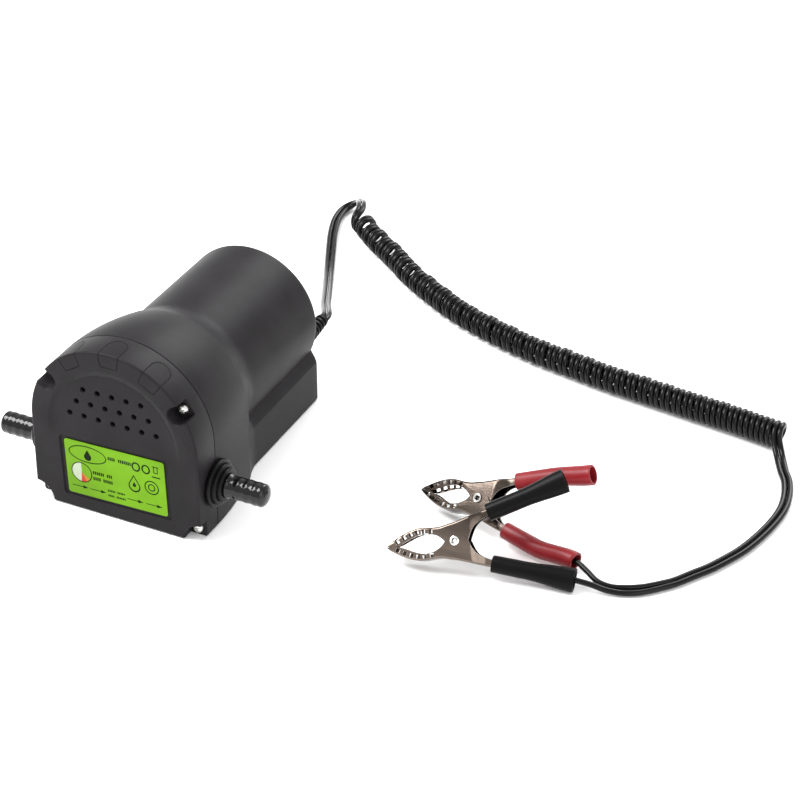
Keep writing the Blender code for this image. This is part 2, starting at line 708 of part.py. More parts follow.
def cap_profile():
    """The cap's section: a round end, three rings that the barbs raise, a lip and a blind bore."""
    top = CAP_LENGTH
    profile = [(0, top), (CAP_RADIUS * 0.55, top - 0.3), (CAP_RADIUS * 0.85, top - 1.3),
               (CAP_RADIUS, top - 3.2)]
    for i in range(BARB_COUNT):
        height = top - 4.4 - i * BARB_PITCH
        profile += [(CAP_RADIUS + 0.3, height), (CAP_RADIUS - 0.15, height - BARB_PITCH * 0.6)]
    profile += [(CAP_RADIUS + 0.1, 2.2), (CAP_RADIUS + 0.6, 1.4), (CAP_RADIUS + 0.6, 0)]
    bore = CAP_RADIUS - CAP_WALL
    return profile + [(bore, 0), (bore, top - 2 * CAP_WALL - 1.0), (0, top - 2 * CAP_WALL)]


# ---------------------------------------------------------------- gear pump


def gear_outline(offset_deg):
    """The outline of a spur gear with involute flanks."""
    pitch = GEAR_CENTRES / 2
    base = pitch * math.cos(math.radians(PRESSURE_DEG))
    root = pitch - GEAR_DEDENDUM
    involute_at_pitch = math.tan(math.radians(PRESSURE_DEG)) - math.radians(PRESSURE_DEG)
    half_tooth = math.pi / (2 * GEAR_TEETH) - math.radians(GEAR_BACKLASH_DEG) / 2
    points = []
    for tooth in range(GEAR_TEETH):
        centre = 2 * math.pi * tooth / GEAR_TEETH + math.radians(offset_deg)
        flank = []
        for radius in (root, base, (base + pitch) / 2, pitch, pitch + GEAR_ADDENDUM / 2,
                       pitch + GEAR_ADDENDUM):
            roll = math.acos(min(1.0, base / radius))
            half = half_tooth + involute_at_pitch - (math.tan(roll) - roll)
            flank.append((radius, half))
        for radius, half in flank:
            points.append((radius * math.cos(centre - half), radius * math.sin(centre - half)))
        for radius, half in reversed(flank):
            points.append((radius * math.cos(centre + half), radius * math.sin(centre + half)))
    return points


def make_pump():
    """The gear pump: its body, gears, idler pin, seal, gasket, end plate and screws."""
    top = MOTOR_Z + CHAMBER_RADIUS + PUMP_WALL
    bottom = IDLER_Z - CHAMBER_RADIUS - PUMP_WALL
    half = PUMP_HALF_WIDTH
    body = box("pump_body", (-half, PUMP_BODY_Y, bottom), (half, PUMP_REAR_Y, top), "cast_aluminium",
               placed(0, 0, 0))
    depth = GEAR_FACE + 2 * GAP
    for name, z in (("drive", MOTOR_Z), ("driven", IDLER_Z)):
        cut(body, rod(f"{name}_chamber", CHAMBER_RADIUS, PUMP_BODY_Y - 1, PUMP_BODY_Y + depth,
                      matrix=placed(0, 0, z, TO_Y), segments=32))
    cut(body, rod("port_channel", PORT_BORE + 0.4, -half - 1, half + 1, matrix=placed(0, PORT_Y, PORT_Z,
                                                                                      TO_X), segments=16))
    for sign in (-1, 1):
        socket = rod(f"port_socket_{sign}", PORT_SHANK + GAP, half - 9.8, half + 1,
                     matrix=placed(0, PORT_Y, PORT_Z, TO_X if sign > 0 else TO_MINUS_X), segments=20)
        cut(body, socket)
    seal_start = PUMP_REAR_Y - 6
    cut(body, rod("shaft_bore", SHAFT_RADIUS + GAP, 0, PUMP_REAR_Y + 2, matrix=placed(0, 0, MOTOR_Z, TO_Y)),
        rod("seal_seat", 7 + GAP, seal_start, PUMP_REAR_Y + 2, matrix=placed(0, 0, MOTOR_Z, TO_Y)),
        rod("idler_bore", 2.5 + GAP, 0, PUMP_BODY_Y + depth + 4, matrix=placed(0, 0, IDLER_Z, TO_Y),
            segments=16))
    seal_end = PUMP_REAR_Y - GAP
    turned("shaft_seal", [(7, seal_end), (7, seal_start + GAP), (SHAFT_RADIUS + GAP, seal_start + GAP),
                          (SHAFT_RADIUS + GAP, seal_end)],
           "black_rubber", placed(0, 0, MOTOR_Z, TO_Y), closed=True, steps=20)

    outline = [(-half, bottom), (half, bottom), (half, top), (-half, top)]
    upright = Matrix.Rotation(math.radians(90), 4, "X")
    end_plate = plate("pump_end_plate", outline, PUMP_PLATE, "cast_aluminium",
                      placed(0, PUMP_FRONT_Y + PUMP_PLATE, 0, upright))
    gasket = plate("pump_gasket", outline, GASKET, "gasket_fibre",
                   placed(0, PUMP_FRONT_Y + PUMP_PLATE + GAP + GASKET, 0, upright))
    for name, z in (("drive", MOTOR_Z), ("driven", IDLER_Z)):
        cut(gasket, rod(f"gasket_{name}", CHAMBER_RADIUS, 0, PUMP_BODY_Y, matrix=placed(0, 0, z, TO_Y)))
    for i, (sign, z) in enumerate(((-1, bottom + 5), (1, bottom + 5), (-1, top - 5), (1, top - 5))):
        x = sign * (half - 5)
        for target in (body, end_plate, gasket):
            cut(target, rod(f"{target.name}_hole_{i}", SCREW_SHANK + GAP, 0, PUMP_BODY_Y + 13,
                            matrix=placed(x, 0, z, TO_Y), segments=12))
        pan_head_screw(f"pump_screw_{i + 1}", x, PUMP_FRONT_Y, z, 14)

    make_gear("drive_gear", MOTOR_Z, 90 + 180 / GEAR_TEETH, SHAFT_RADIUS + GAP)
    make_gear("driven_gear", IDLER_Z, 90, 2.5 + GAP)
    rod("idler_pin", 2.5, PUMP_BODY_Y + GAP - 0.2, PUMP_BODY_Y + GEAR_FACE + 3.5, "hard_steel",
        placed(0, 0, IDLER_Z, TO_Y), 16)


def make_gear(name, z, offset_deg, bore):
    """A gear in its chamber, with its bore on its own axis."""
    axis = new_empty(f"{name}_axis", placed(0, GEAR_Y + GEAR_FACE, z, Matrix.Rotation(math.radians(90), 4,
                                                                                      "X")))
    gear = plate(name, gear_outline(offset_deg), GEAR_FACE, "hard_steel", axis.matrix_world.copy(),
                 parent=axis)
    cut(gear, rod(f"{name}_bore", bore, -1, GEAR_FACE + 1, matrix=axis.matrix_world.copy(), segments=16))


# ---------------------------------------------------------------- motor


def make_motor():
    """The motor: can, magnets, wound armature, commutator, shaft, brushes, bushings and endbell."""
    home = placed(0, 0, MOTOR_Z, TO_Y)
    start, end = MOTOR_Y, MOTOR_Y + MOTOR_LENGTH
    inside = MOTOR_RADIUS - CAN_WALL
    turned("motor_can", [(MOTOR_RADIUS, end), (MOTOR_RADIUS, start), (BUSHING_RADIUS + GAP, start),
                         (BUSHING_RADIUS + GAP, start + CAN_WALL), (inside, start + CAN_WALL), (inside,
                                                                                                end)],
           "zinc_steel", home, closed=True, steps=32)
    bore = SHAFT_RADIUS + GAP
    for name, base in (("front_bushing", start + GAP), ("rear_bushing", end + GAP)):
        turned(name, [(bore, base + 5), (BUSHING_RADIUS, base + 5), (BUSHING_RADIUS, base), (bore, base)],
               "bronze", home, closed=True, steps=20)
    bell_inside = BUSHING_RADIUS + GAP
    turned("motor_endbell", [(bell_inside, end + ENDBELL_DEPTH), (MOTOR_RADIUS, end + ENDBELL_DEPTH),
                             (MOTOR_RADIUS, end + GAP), (bell_inside, end + GAP)],
           "black_switch", home, closed=True, steps=32)

    outer, inner = inside - GAP, inside - GAP - MAGNET_THICKNESS
    magnet_start = start + CAN_WALL + 5
    for name, centre in (("magnet_left", 180), ("magnet_right", 0)):
        span = MAGNET_SPAN_DEG / 2
        section = arc(outer, centre - span, centre + span, 12) + arc(inner, centre + span, centre - span,
                                                                     12)
        plate(name, section, ARMATURE_LENGTH + 4, "ferrite", placed(0, magnet_start, MOTOR_Z, TO_Y))

    axis = new_empty("motor_axis", placed(0, 0, MOTOR_Z, TO_Y))
    spin = axis.matrix_world.copy()
    shaft_start = PUMP_BODY_Y + GAP
    rod("motor_shaft", SHAFT_RADIUS, shaft_start, end + ENDBELL_DEPTH + 1, "hard_steel", spin, 16, axis)
    core_start = magnet_start + 2
    core_end = core_start + ARMATURE_LENGTH
    armature = rod("armature", ARMATURE_RADIUS, core_start, core_end, "copper_windings", spin, 40, axis)
    for i in range(ARMATURE_SLOTS):
        turn = Matrix.Rotation(math.radians(360 / ARMATURE_SLOTS * i), 4, "Z")
        slot = box(f"armature_slot_{i}", (ARMATURE_RADIUS - 5, -1.3, core_start - 1),
                   (ARMATURE_RADIUS + 2, 1.3, core_end + 1), matrix=spin @ turn)
        cut(armature, slot)
    commutator_start = core_end + 3
    commutator_end = commutator_start + COMMUTATOR_LENGTH
    commutator = rod("commutator", COMMUTATOR_RADIUS, commutator_start, commutator_end, "copper_windings",
                     spin, 20, axis)
    cut(armature, rod("armature_bore", bore, core_start - 1, core_end + 1, matrix=spin, segments=16))
    cut(commutator, rod("commutator_bore", bore, commutator_start - 1, commutator_end + 1, matrix=spin,
                        segments=16))

    middle = (commutator_start + commutator_end) / 2
    for name, sign in (("brush_upper", 1), ("brush_lower", -1)):
        near, far = COMMUTATOR_RADIUS + GAP, inside - 4
        low, high = sorted((sign * near, sign * far))
        box(name, (-3, middle - 3.5, low), (3, middle + 3.5, high), "carbon", placed(0, 0, MOTOR_Z))


# ---------------------------------------------------------------- switch, relief and inner wires


def make_switch():
    """The rocker switch in the rear wall: its body and the rocker that tips in it."""
    half_x, half_z = (size / 2 - GAP for size in SWITCH_CUTOUT)
    bezel_x, bezel_z, bezel = SWITCH_BEZEL[0] / 2, SWITCH_BEZEL[1] / 2, SWITCH_BEZEL[2]
    home = placed(0, BODY_LENGTH + GAP, SWITCH_Z)
    body = box("switch_body", (-half_x, -SWITCH_DEPTH, -half_z), (half_x, 0.5, half_z), "black_switch",
               home)
    join(body, box("switch_bezel", (-bezel_x, 0, -bezel_z), (bezel_x, bezel, bezel_z), matrix=home))
    well_x, well_z = half_x - 1.2, half_z - 1.2
    cut(body, box("switch_well", (-well_x, -6, -well_z), (well_x, bezel + 1, well_z), matrix=home))

    turn = Matrix.Rotation(math.radians(ROCKER_TILT_DEG), 4, "Z")
    tip_x, tip_y = well_x - 0.5, 1.4
    tilt = math.radians(ROCKER_TILT_DEG)
    tip_rise = tip_y * math.cos(tilt) + tip_x * math.sin(tilt)
    pivot_y = BODY_LENGTH + ROCKER_PROUD - tip_rise
    axis = new_empty("rocker_axis", placed(0, pivot_y, SWITCH_Z, turn))
    section = [(-tip_x, tip_y), (0, 0.3), (tip_x, tip_y), (tip_x * 0.7, -2.2), (0, -3.6),
               (-tip_x * 0.7, -2.2)]
    depth = 2 * (well_z - GAP)
    below = Matrix.Translation((0, 0, -depth / 2 * MM))
    plate("switch_rocker", section, depth, "black_switch", axis.matrix_world @ below, axis)


def make_strain_relief():
    """The ribbed, tapered boot that the cord leaves the rear wall through."""
    start, end = RELIEF_RADII
    profile = [(CORD_RADIUS * 0.5, RELIEF_LENGTH), (end, RELIEF_LENGTH)]
    ribs = 6
    for i in range(ribs):
        top = RELIEF_LENGTH - 1.5 - i * (RELIEF_LENGTH - 4) / ribs
        radius = end + (start - end) * (i + 1) / ribs
        profile += [(radius, top - 0.6), (radius, top - 2.2), (radius - 1.1, top - 2.4),
                    (radius - 1.1, top - 3.2)]
    profile += [(start + 1.2, 2.2), (start + 1.2, GAP), (RELIEF_NECK, GAP), (RELIEF_NECK, -WALL - GAP),
                (RELIEF_NECK + 1.4, -WALL - GAP), (RELIEF_NECK + 1.4, -WALL - 3), (CORD_RADIUS * 0.5,
                                                                                   -WALL - 3)]
    turned("strain_relief", profile, "black_rubber", placed(RELIEF_X, BODY_LENGTH, RELIEF_Z, TO_Y),
           closed=True, steps=16)


def make_inner_wires():
    """The three wires between strain relief, switch and brushes."""
    wall_y = BODY_LENGTH - WALL
    bell_y = MOTOR_Y + MOTOR_LENGTH + ENDBELL_DEPTH
    switch_y = BODY_LENGTH - SWITCH_DEPTH - 1
    routes = {
        "supply_wire": ((RELIEF_X - 1.5, wall_y - 4.4, RELIEF_Z + 1),
                        (RELIEF_X - 4, wall_y - 12, RELIEF_Z + 6),
                        (18, switch_y - 8, SWITCH_Z - 8), (7, switch_y, SWITCH_Z)),
        "switch_wire": ((-7, switch_y, SWITCH_Z), (-10, switch_y - 7, SWITCH_Z - 4),
                        (-9, bell_y + 6, MOTOR_Z + 16), (-7, bell_y + 1.2, MOTOR_Z + 13)),
        "return_wire": ((RELIEF_X + 1.5, wall_y - 4.4, RELIEF_Z - 2),
                        (RELIEF_X - 2, wall_y - 12, RELIEF_Z - 12),
                        (18, bell_y + 10, MOTOR_Z - 15), (7, bell_y + 1.3, MOTOR_Z - 13)),
    }
    for name, route in routes.items():
        tube(name, smooth_route(route, 7), 1.0, "red_vinyl" if name == "switch_wire" else "black_vinyl", 1,
             placed(0, 0, 0))


# ---------------------------------------------------------------- cord


def make_cord():
    """The cord along its route: the lead, the curly stretch as one fat tube, the tail and two wires."""
    home = placed(0, 0, 0)
    tube("cord_lead", smooth_route(LEAD_ROUTE, 10), CORD_RADIUS, "black_vinyl", 2, home)
    axis = [(x, y, COIL_RADIUS + 0.15) for x, y in COIL_ROUTE]
    tube("cord_coil", smooth_route(axis, 26), COIL_RADIUS, "black_vinyl", 3, home)
    tube("cord_tail", smooth_route(TAIL_ROUTE, 11), CORD_RADIUS, "black_vinyl", 2, home)
    tube("black_wire", smooth_route(BLACK_WIRE_ROUTE, 7), WIRE_RADIUS, "black_vinyl", 2, home)
    tube("red_wire", smooth_route(RED_WIRE_ROUTE, 7), WIRE_RADIUS, "black_vinyl", 2, home)


# ---------------------------------------------------------------- battery clips


def clip_matrix(clip):
    """The frame of a clip: at its rivet, with x to the handles, y up and z along the rivet."""
    azimuth, rise, roll = (math.radians(angle) for angle in clip["turn"])
    z = Vector((math.sin(azimuth) * math.cos(rise), -math.cos(azimuth) * math.cos(rise), math.sin(rise)))
    level = Vector((math.cos(azimuth), math.sin(azimuth), 0))
    across = z.cross(level)
    x = math.cos(roll) * level + math.sin(roll) * across
    y = z.cross(x)
    turn = Matrix((x, y, z)).transposed().to_4x4()
    return placed(*clip["pivot"], turn)


def clip_half_mesh(name, width, flip):
    """One half of a clip: a folded channel with a toothed jaw, narrowed towards its handle and nose."""
    edge = [(x, y * flip) for x, y in CLIP_OUTER_EDGE]
    inner = [(x, y * flip) for x, y in CLIP_INNER_EDGE]
    solid = new_object(name + "_blank", outline_mesh(name, edge + inner, width), None)
    hollow_edge = [(x, (y - CLIP_SHEET * 1.1) * flip) for x, y in CLIP_OUTER_EDGE[1:]]
    hollow_inner = [(42.0, 8.0 * flip), (14.0, -2.0 * flip), (2.0, -9.0 * flip), (-12.0, -6.0 * flip),
                    (-36.0, -3.0 * flip), (-36.0, 0.1 * flip)]
    hollow = plate(name + "_hollow", hollow_edge + [(42.0, 18.0 * flip)] + hollow_inner,
                   width - 2 * CLIP_SHEET,
                   matrix=Matrix.Translation((0, 0, CLIP_SHEET * MM)))
    hole = rod(name + "_rivet_hole", CLIP_RIVET + GAP, -1, width + 1, segments=16)
    cut(solid, hollow, hole)
    for i in range(CLIP_NOTCHES):
        x = -29.5 + i * 3.7
        y = (0.6 + 4.9 * math.sin(math.radians(12 + 21 * i))) * flip
        low, high = sorted((y - 3.0 * flip, y + 0.9 * flip))
        cut(solid, box(f"{name}_notch_{i}", (x - CLIP_NOTCH / 2, low, -1), (x + CLIP_NOTCH / 2, high,
                                                                            width + 1)))
    bpy.context.view_layer.update()
    mesh = bpy.data.meshes.new_from_object(solid.evaluated_get(bpy.context.evaluated_depsgraph_get()))
    bpy.data.objects.remove(solid, do_unlink=True)
    bm = bmesh.new()
    bm.from_mesh(mesh)
    bpy.data.meshes.remove(mesh)
    start, end = CLIP_TAPER
    for x in (start, (start + end) / 2, end, -10.0, -24.0):
        geometry = bm.verts[:] + bm.edges[:] + bm.faces[:]
        bmesh.ops.bisect_plane(bm, geom=geometry, plane_co=(x * MM, 0, 0), plane_no=(1, 0, 0), dist=1e-8)
    for vert in bm.verts:
        x = vert.co.x / MM
        to_handle = min(1.0, max(0.0, (x - start) / (end - start)))
        to_nose = min(1.0, max(0.0, (-10 - x) / 26))
        share = 1 - (1 - CLIP_HANDLE_WIDTH / width) * to_handle - (1 - CLIP_NOSE_SHARE) * to_nose
        vert.co.z = (vert.co.z - width * MM / 2) * share
    return mesh_from(name, bm)


def sleeve_rings(flip, bend, shrink):
    """The rings of a sleeve's skin: oval over the handle, rounder at its mouth and bent beyond the handle."""
    start = Vector((*SLEEVE_START, 0))
    direction = math.radians(SLEEVE_DIRECTION_DEG)
    along = Vector((math.cos(direction), math.sin(direction), 0))
    across = Vector((-along.y, along.x, 0))
    rings = []
    extra = 1.0 if shrink else 0.0
    for share in (0.0, 0.25, 0.45, 0.65, 0.85, 1.0):
        reach = share * SLEEVE_LENGTH + (extra if share == 1.0 else -extra if share == 0.0 else 0.0)
        bent = max(0.0, (share - 0.45) / 0.55) ** 2
        centre = start + along * reach - across * bend[0] * bent + Vector((0, 0, bend[1] * bent))
        high = 4.1 + 1.7 * share**1.5 - shrink
        wide = 5.0 + 0.8 * share - shrink
        power = 0.72 + 0.2 * share
        ring = []
        for i in range(14):
            angle = 2 * math.pi * (i + 0.5) / 14
            up, side = (math.copysign(abs(value) ** power, value) for value in (math.cos(angle),
                                                                                math.sin(angle)))
            place = centre + across * high * up + Vector((0, 0, wide * side))
            ring.append((place.x, place.y * flip, place.z))
        rings.append(ring)
    return rings


def make_clip(colour):
    """A battery clip: two channel halves, a hollow rivet, a spring and two vinyl sleeves."""
    clip = CLIPS[colour]
    matrix = clip_matrix(clip)
    axis = new_empty(f"{colour}_clip_axis", matrix)
    finish = f"{colour}_vinyl"
    for half, width, flip in (("lower", CLIP_WIDTHS[0], -1), ("upper", CLIP_WIDTHS[1], 1)):
        name = f"{colour}_clip_{half}"
        new_object(f"{name}_jaw", clip_half_mesh(f"{name}_jaw", width, flip), "nickel_steel", matrix, axis)
        bend = clip["bend"] if half == "lower" else (0.0, 0.0)
        sleeve = loft(f"{name}_sleeve", sleeve_rings(flip, bend, 0.0), finish, matrix, axis)
        cut(sleeve, loft(f"{name}_sleeve_bore", sleeve_rings(flip, bend, SLEEVE_WALL), None, matrix))
    reach = CLIP_WIDTHS[0] / 2 + GAP
    head, bore = CLIP_RIVET + 0.6, 1.1
    profile = [(bore, reach + 0.7), (head, reach + 0.5), (head, reach), (CLIP_RIVET, reach),
               (CLIP_RIVET, -reach), (head, -reach), (head, -reach - 0.5), (bore, -reach - 0.7)]
    turned(f"{colour}_clip_rivet", profile, "nickel_steel", matrix, closed=True, steps=16, parent=axis)
    turns, per_turn = SPRING_TURNS, 12
    rise = 2 * SPRING_WIRE + GAP
    coil = []
    for i in range(turns * per_turn + 1):
        angle = 2 * math.pi * i / per_turn
        height = (i / per_turn - turns / 2) * rise
        coil.append((SPRING_RADIUS * math.cos(angle), SPRING_RADIUS * math.sin(angle), height))
    tube(f"{colour}_clip_spring", coil, SPRING_WIRE, "hard_steel", 1, matrix, axis)


def main():
    """Builds the pump in order, from its body to its clips."""
    clear_scene()
    make_collections()
    make_finishes()
    make_front_cover()
    make_label()
    make_rear_housing()
    make_cover_screws()
    make_ports()
    make_pump()
    make_motor()
    make_switch()
    make_strain_relief()
    make_inner_wires()
    make_cord()
    for colour in CLIPS:
        make_clip(colour)


main()
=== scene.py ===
"""Dresses the fluid transfer pump: its moulded body, capped ports, curly cord and battery clips.

Shapes are worked out in millimetres. A body shape uses x to the right, y as the depth behind the
front face and z as the height above the floor. A turned shape is worked out about its own z axis.
"""

import logging
import math
from collections.abc import Iterable, Sequence
from dataclasses import dataclass, field
from enum import Enum

import bmesh
import bpy
from mathutils import Matrix, Vector


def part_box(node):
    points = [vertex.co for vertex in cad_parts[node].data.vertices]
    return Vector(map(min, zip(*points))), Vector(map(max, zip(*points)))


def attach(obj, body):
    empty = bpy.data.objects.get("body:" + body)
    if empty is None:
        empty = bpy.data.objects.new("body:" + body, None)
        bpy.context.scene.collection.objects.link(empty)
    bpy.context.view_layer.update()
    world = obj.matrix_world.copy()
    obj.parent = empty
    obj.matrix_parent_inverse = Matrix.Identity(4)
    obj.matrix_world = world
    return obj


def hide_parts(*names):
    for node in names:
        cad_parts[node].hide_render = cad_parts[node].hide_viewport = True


LOG = logging.getLogger("fluid_transfer_pump")
MM = 0.001
TAU = 2 * math.pi

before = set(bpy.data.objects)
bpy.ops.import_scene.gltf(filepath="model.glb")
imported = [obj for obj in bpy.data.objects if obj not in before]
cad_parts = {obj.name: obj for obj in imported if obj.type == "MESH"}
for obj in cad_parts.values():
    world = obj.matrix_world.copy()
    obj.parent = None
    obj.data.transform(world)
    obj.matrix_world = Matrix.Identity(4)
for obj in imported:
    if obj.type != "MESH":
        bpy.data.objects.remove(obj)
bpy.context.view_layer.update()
FACE_Y = float(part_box("front_cover")[0][1])

IN_METRES = Matrix.Scale(MM, 4)
BODY = Matrix.Translation((0, FACE_Y, 0)) @ IN_METRES
TO_X = Matrix.Rotation(math.radians(90), 4, "Y")
TO_MINUS_X = Matrix.Rotation(math.radians(-90), 4, "Y")
TO_REAR = Matrix.Rotation(math.radians(-90), 4, "X")
TO_FACE = Matrix.Rotation(math.radians(90), 4, "X")

PORT_Y, PORT_Z = 19.15, 28.8
RELIEF_X, RELIEF_Z = 31.0, 36.0
REAR_Y = 158.0
LABEL_Z = 27.6
LABEL_LEAN = Matrix.Rotation(math.radians(-1.8), 4, "Y")

Point = Sequence[float]
Color = tuple[float, float, float]


class Grain(Enum):
    """The direction that a finish's fine relief runs in, as the scale of its pattern."""

    EVEN = (1.0, 1.0, 1.0)
    DRAWN_ALONG_X = (0.08, 1.0, 1.0)
    DRAWN_ALONG_Y = (1.0, 0.08, 1.0)


class Half(Enum):
    """The two halves of a battery clip, by the side of the rivet that their handles are on."""

    LOWER = -1
    UPPER = 1


@dataclass(frozen=True)
class Finish:
    """How a surface looks: its colour, its gloss and its fine relief."""

    name: str
    slot: str
    color: Color
    roughness: float
    metallic: float = 0.0
    grain: Grain = Grain.EVEN
    grain_mm: float = 0.8
    relief_mm: float = 0.03
    # How far the colour swings darker and lighter in broad patches: random tone on most finishes, painted
    # reflection patches on the nickel.
    mottle_and_painted_reflection: float = 0.12
    gloss_spread: float = 0.06
    sheen: float = 0.5

    def material(self) -> bpy.types.Material:
        """Makes the finish's node material once.

        Returns:
            The material that every piece with this finish shares.
        """
        known = bpy.data.materials.get(f"{self.name}_finish")
        if known:
            return known
        material = bpy.data.materials.new(f"{self.name}_finish")
        material.use_nodes = True
        nodes, links = material.node_tree.nodes, material.node_tree.links
        shader = nodes["Principled BSDF"]
        shader.inputs["Metallic"].default_value = self.metallic
        shader.inputs["Specular IOR Level"].default_value = self.sheen

        place = nodes.new("ShaderNodeTexCoord")
        stretch = nodes.new("ShaderNodeMapping")
        stretch.inputs["Scale"].default_value = self.grain.value
        links.new(place.outputs["Object"], stretch.inputs["Vector"])
        fine = self._noise(nodes, links, stretch, self.grain_mm, 3.0)
        broad = self._noise(nodes, links, stretch, self.grain_mm * 22, 4.0)

        # The base colour runs between a darker and a lighter copy in broad patches; on the nickel these
        # patches are painted reflections.
        shades = nodes.new("ShaderNodeValToRGB")
        dark, light = (
            tuple(part * share for part in self.color)
            for share in (1 - self.mottle_and_painted_reflection, 1 + self.mottle_and_painted_reflection)
        )
        shades.color_ramp.elements[0].position = 0.35
        shades.color_ramp.elements[0].color = (*dark, 1)
        shades.color_ramp.elements[1].position = 0.65
        shades.color_ramp.elements[1].color = (*light, 1)
        links.new(broad.outputs["Fac"], shades.inputs["Fac"])
        links.new(shades.outputs["Color"], shader.inputs["Base Color"])

        gloss = nodes.new("ShaderNodeMapRange")
        gloss.inputs["To Min"].default_value = max(0.02, self.roughness - self.gloss_spread)
        gloss.inputs["To Max"].default_value = min(1.0, self.roughness + self.gloss_spread)
        links.new(fine.outputs["Fac"], gloss.inputs["Value"])
        links.new(gloss.outputs["Result"], shader.inputs["Roughness"])

        relief = nodes.new("ShaderNodeBump")
        relief.inputs["Strength"].default_value = 0.6
        relief.inputs["Distance"].default_value = self.relief_mm * MM
        links.new(fine.outputs["Fac"], relief.inputs["Height"])
        links.new(relief.outputs["Normal"], shader.inputs["Normal"])
        return material

    @staticmethod
    def _noise(nodes, links, place, size_mm: float, detail: float) -> bpy.types.Node:
        """A noise pattern whose lumps are about size_mm wide."""
        noise = nodes.new("ShaderNodeTexNoise")
        noise.inputs["Scale"].default_value = 1 / (size_mm * MM)
        noise.inputs["Detail"].default_value = detail
        links.new(place.outputs["Vector"], noise.inputs["Vector"])
        return noise


CHARCOAL = Finish(
    "charcoal_plastic", "charcoal_plastic", (0.0125, 0.0112, 0.0125), 0.44, relief_mm=0.02, sheen=0.1
)
GLOSS_BLACK = Finish(
    "glossy_black_vinyl", "black_vinyl", (0.002, 0.002, 0.002), 0.13, relief_mm=0.002, grain_mm=1.5,
    sheen=0.35,
)
CORD_BLACK = Finish(
    "black_cord_vinyl", "black_vinyl", (0.002, 0.002, 0.002), 0.2, relief_mm=0.004, grain_mm=1.2, sheen=0.18
)
SLEEVE_BLACK = Finish(
    "black_sleeve_vinyl", "black_vinyl", (0.003, 0.003, 0.003), 0.34, relief_mm=0.015, grain_mm=1.4,
    sheen=0.08,
)
SLEEVE_RED = Finish(
    "red_sleeve_vinyl", "red_vinyl", (0.19, 0.009, 0.013), 0.36, relief_mm=0.03, grain_mm=1.4, mottle_and_painted_reflection=0.18,
    sheen=0.25,
)
BLACK_RUBBER = Finish(
    "black_rubber", "black_rubber", (0.004, 0.004, 0.004), 0.34, relief_mm=0.01, grain_mm=0.9, sheen=0.12
)
LABEL_GREEN = Finish(
    "label_green", "label_print", (0.115, 0.27, 0.001), 0.4, relief_mm=0.003, mottle_and_painted_reflection=0.14, grain_mm=1.6,
    sheen=0.15,
)
PRINT_DARK = Finish("label_dark_ink", "label_print", (0.004, 0.012, 0.002), 0.4, relief_mm=0.002, sheen=0.05)
PRINT_WHITE = Finish("label_white_ink", "label_print", (0.36, 0.42, 0.3), 0.4, relief_mm=0.002, sheen=0.1)
PRINT_ORANGE = Finish("label_orange_ink", "label_print", (0.38, 0.16, 0.02), 0.4, relief_mm=0.002, sheen=0.1)
PRINT_RED = Finish("label_red_ink", "label_print", (0.4, 0.04, 0.02), 0.4, relief_mm=0.002, sheen=0.1)
ZINC = Finish("zinc_plated_steel", "zinc_steel", (0.72, 0.72, 0.7), 0.28, 1.0, relief_mm=0.01, mottle_and_painted_reflection=0.08)
# Nickel plate: its dark brown colour and its strong broad dark and bright patches are painted reflection of
# dark surroundings, not the metal's own tone.
NICKEL_WITH_PAINTED_REFLECTION = Finish(
    "nickel_plated_steel", "nickel_steel", (0.11, 0.088, 0.073), 0.18, 1.0, Grain.DRAWN_ALONG_X,
    grain_mm=0.9, relief_mm=0.05, mottle_and_painted_reflection=0.7, gloss_spread=0.12,
)
RIVET_STEEL = Finish("bright_rivet_steel", "nickel_steel", (0.78, 0.77, 0.75), 0.18, 1.0, relief_mm=0.008)
SPRING_STEEL = Finish("spring_steel", "hard_steel", (0.2, 0.19, 0.18), 0.3, 1.0, relief_mm=0.006)
HARD_STEEL = Finish(
    "ground_steel", "hard_steel", (0.45, 0.45, 0.47), 0.25, 1.0, Grain.DRAWN_ALONG_Y, relief_mm=0.01
)
CAST_ALUMINIUM = Finish(
    "cast_aluminium", "cast_aluminium", (0.62, 0.62, 0.62), 0.45, 1.0, relief_mm=0.06, grain_mm=0.6
)
BRONZE = Finish("sintered_bronze", "bronze", (0.5, 0.32, 0.14), 0.45, 1.0, relief_mm=0.03, grain_mm=0.4)
COPPER = Finish(
    "enamelled_copper", "copper_windings", (0.55, 0.2, 0.07), 0.3, 1.0, Grain.DRAWN_ALONG_Y, grain_mm=0.5
)
FERRITE = Finish("ferrite", "ferrite", (0.05, 0.05, 0.055), 0.6, relief_mm=0.05, grain_mm=0.5)
CARBON = Finish("carbon", "carbon", (0.03, 0.03, 0.03), 0.5, relief_mm=0.04, grain_mm=0.4)
FIBRE = Finish("gasket_fibre", "gasket_fibre", (0.25, 0.2, 0.12), 0.9, relief_mm=0.08, grain_mm=0.5)
SWITCH_BLACK = Finish("black_switch", "black_switch", (0.004, 0.004, 0.004), 0.3, relief_mm=0.01, sheen=0.15)
FLOOR = Finish("pale_floor", "floor", (0.93, 0.93, 0.93), 0.8, relief_mm=0.02, mottle_and_painted_reflection=0.01, grain_mm=6.0)


def arc(
    radius: float, start: float, end: float, steps: int, centre: Point = (0.0, 0.0)
) -> list[tuple[float, float]]:
    """Points along an arc whose ends are given in degrees, both ends included."""
    angles = [math.radians(start + (end - start) * i / steps) for i in range(steps + 1)]
    return [(centre[0] + radius * math.cos(a), centre[1] + radius * math.sin(a)) for a in angles]


def between(before: Vector, start: Vector, end: Vector, after: Vector, share: float) -> Vector:
    """The point a share of the way from start to end, on the Catmull-Rom curve through four points."""
    return (
        2 * start
        + (end - before) * share
        + (2 * before - 5 * start + 4 * end - after) * share**2
        + (3 * start - before - 3 * end + after) * share**3
    ) / 2


def eased(share: float) -> float:
    """A share from 0 to 1, made to start and end slowly."""
    return share * share * (3 - 2 * share)


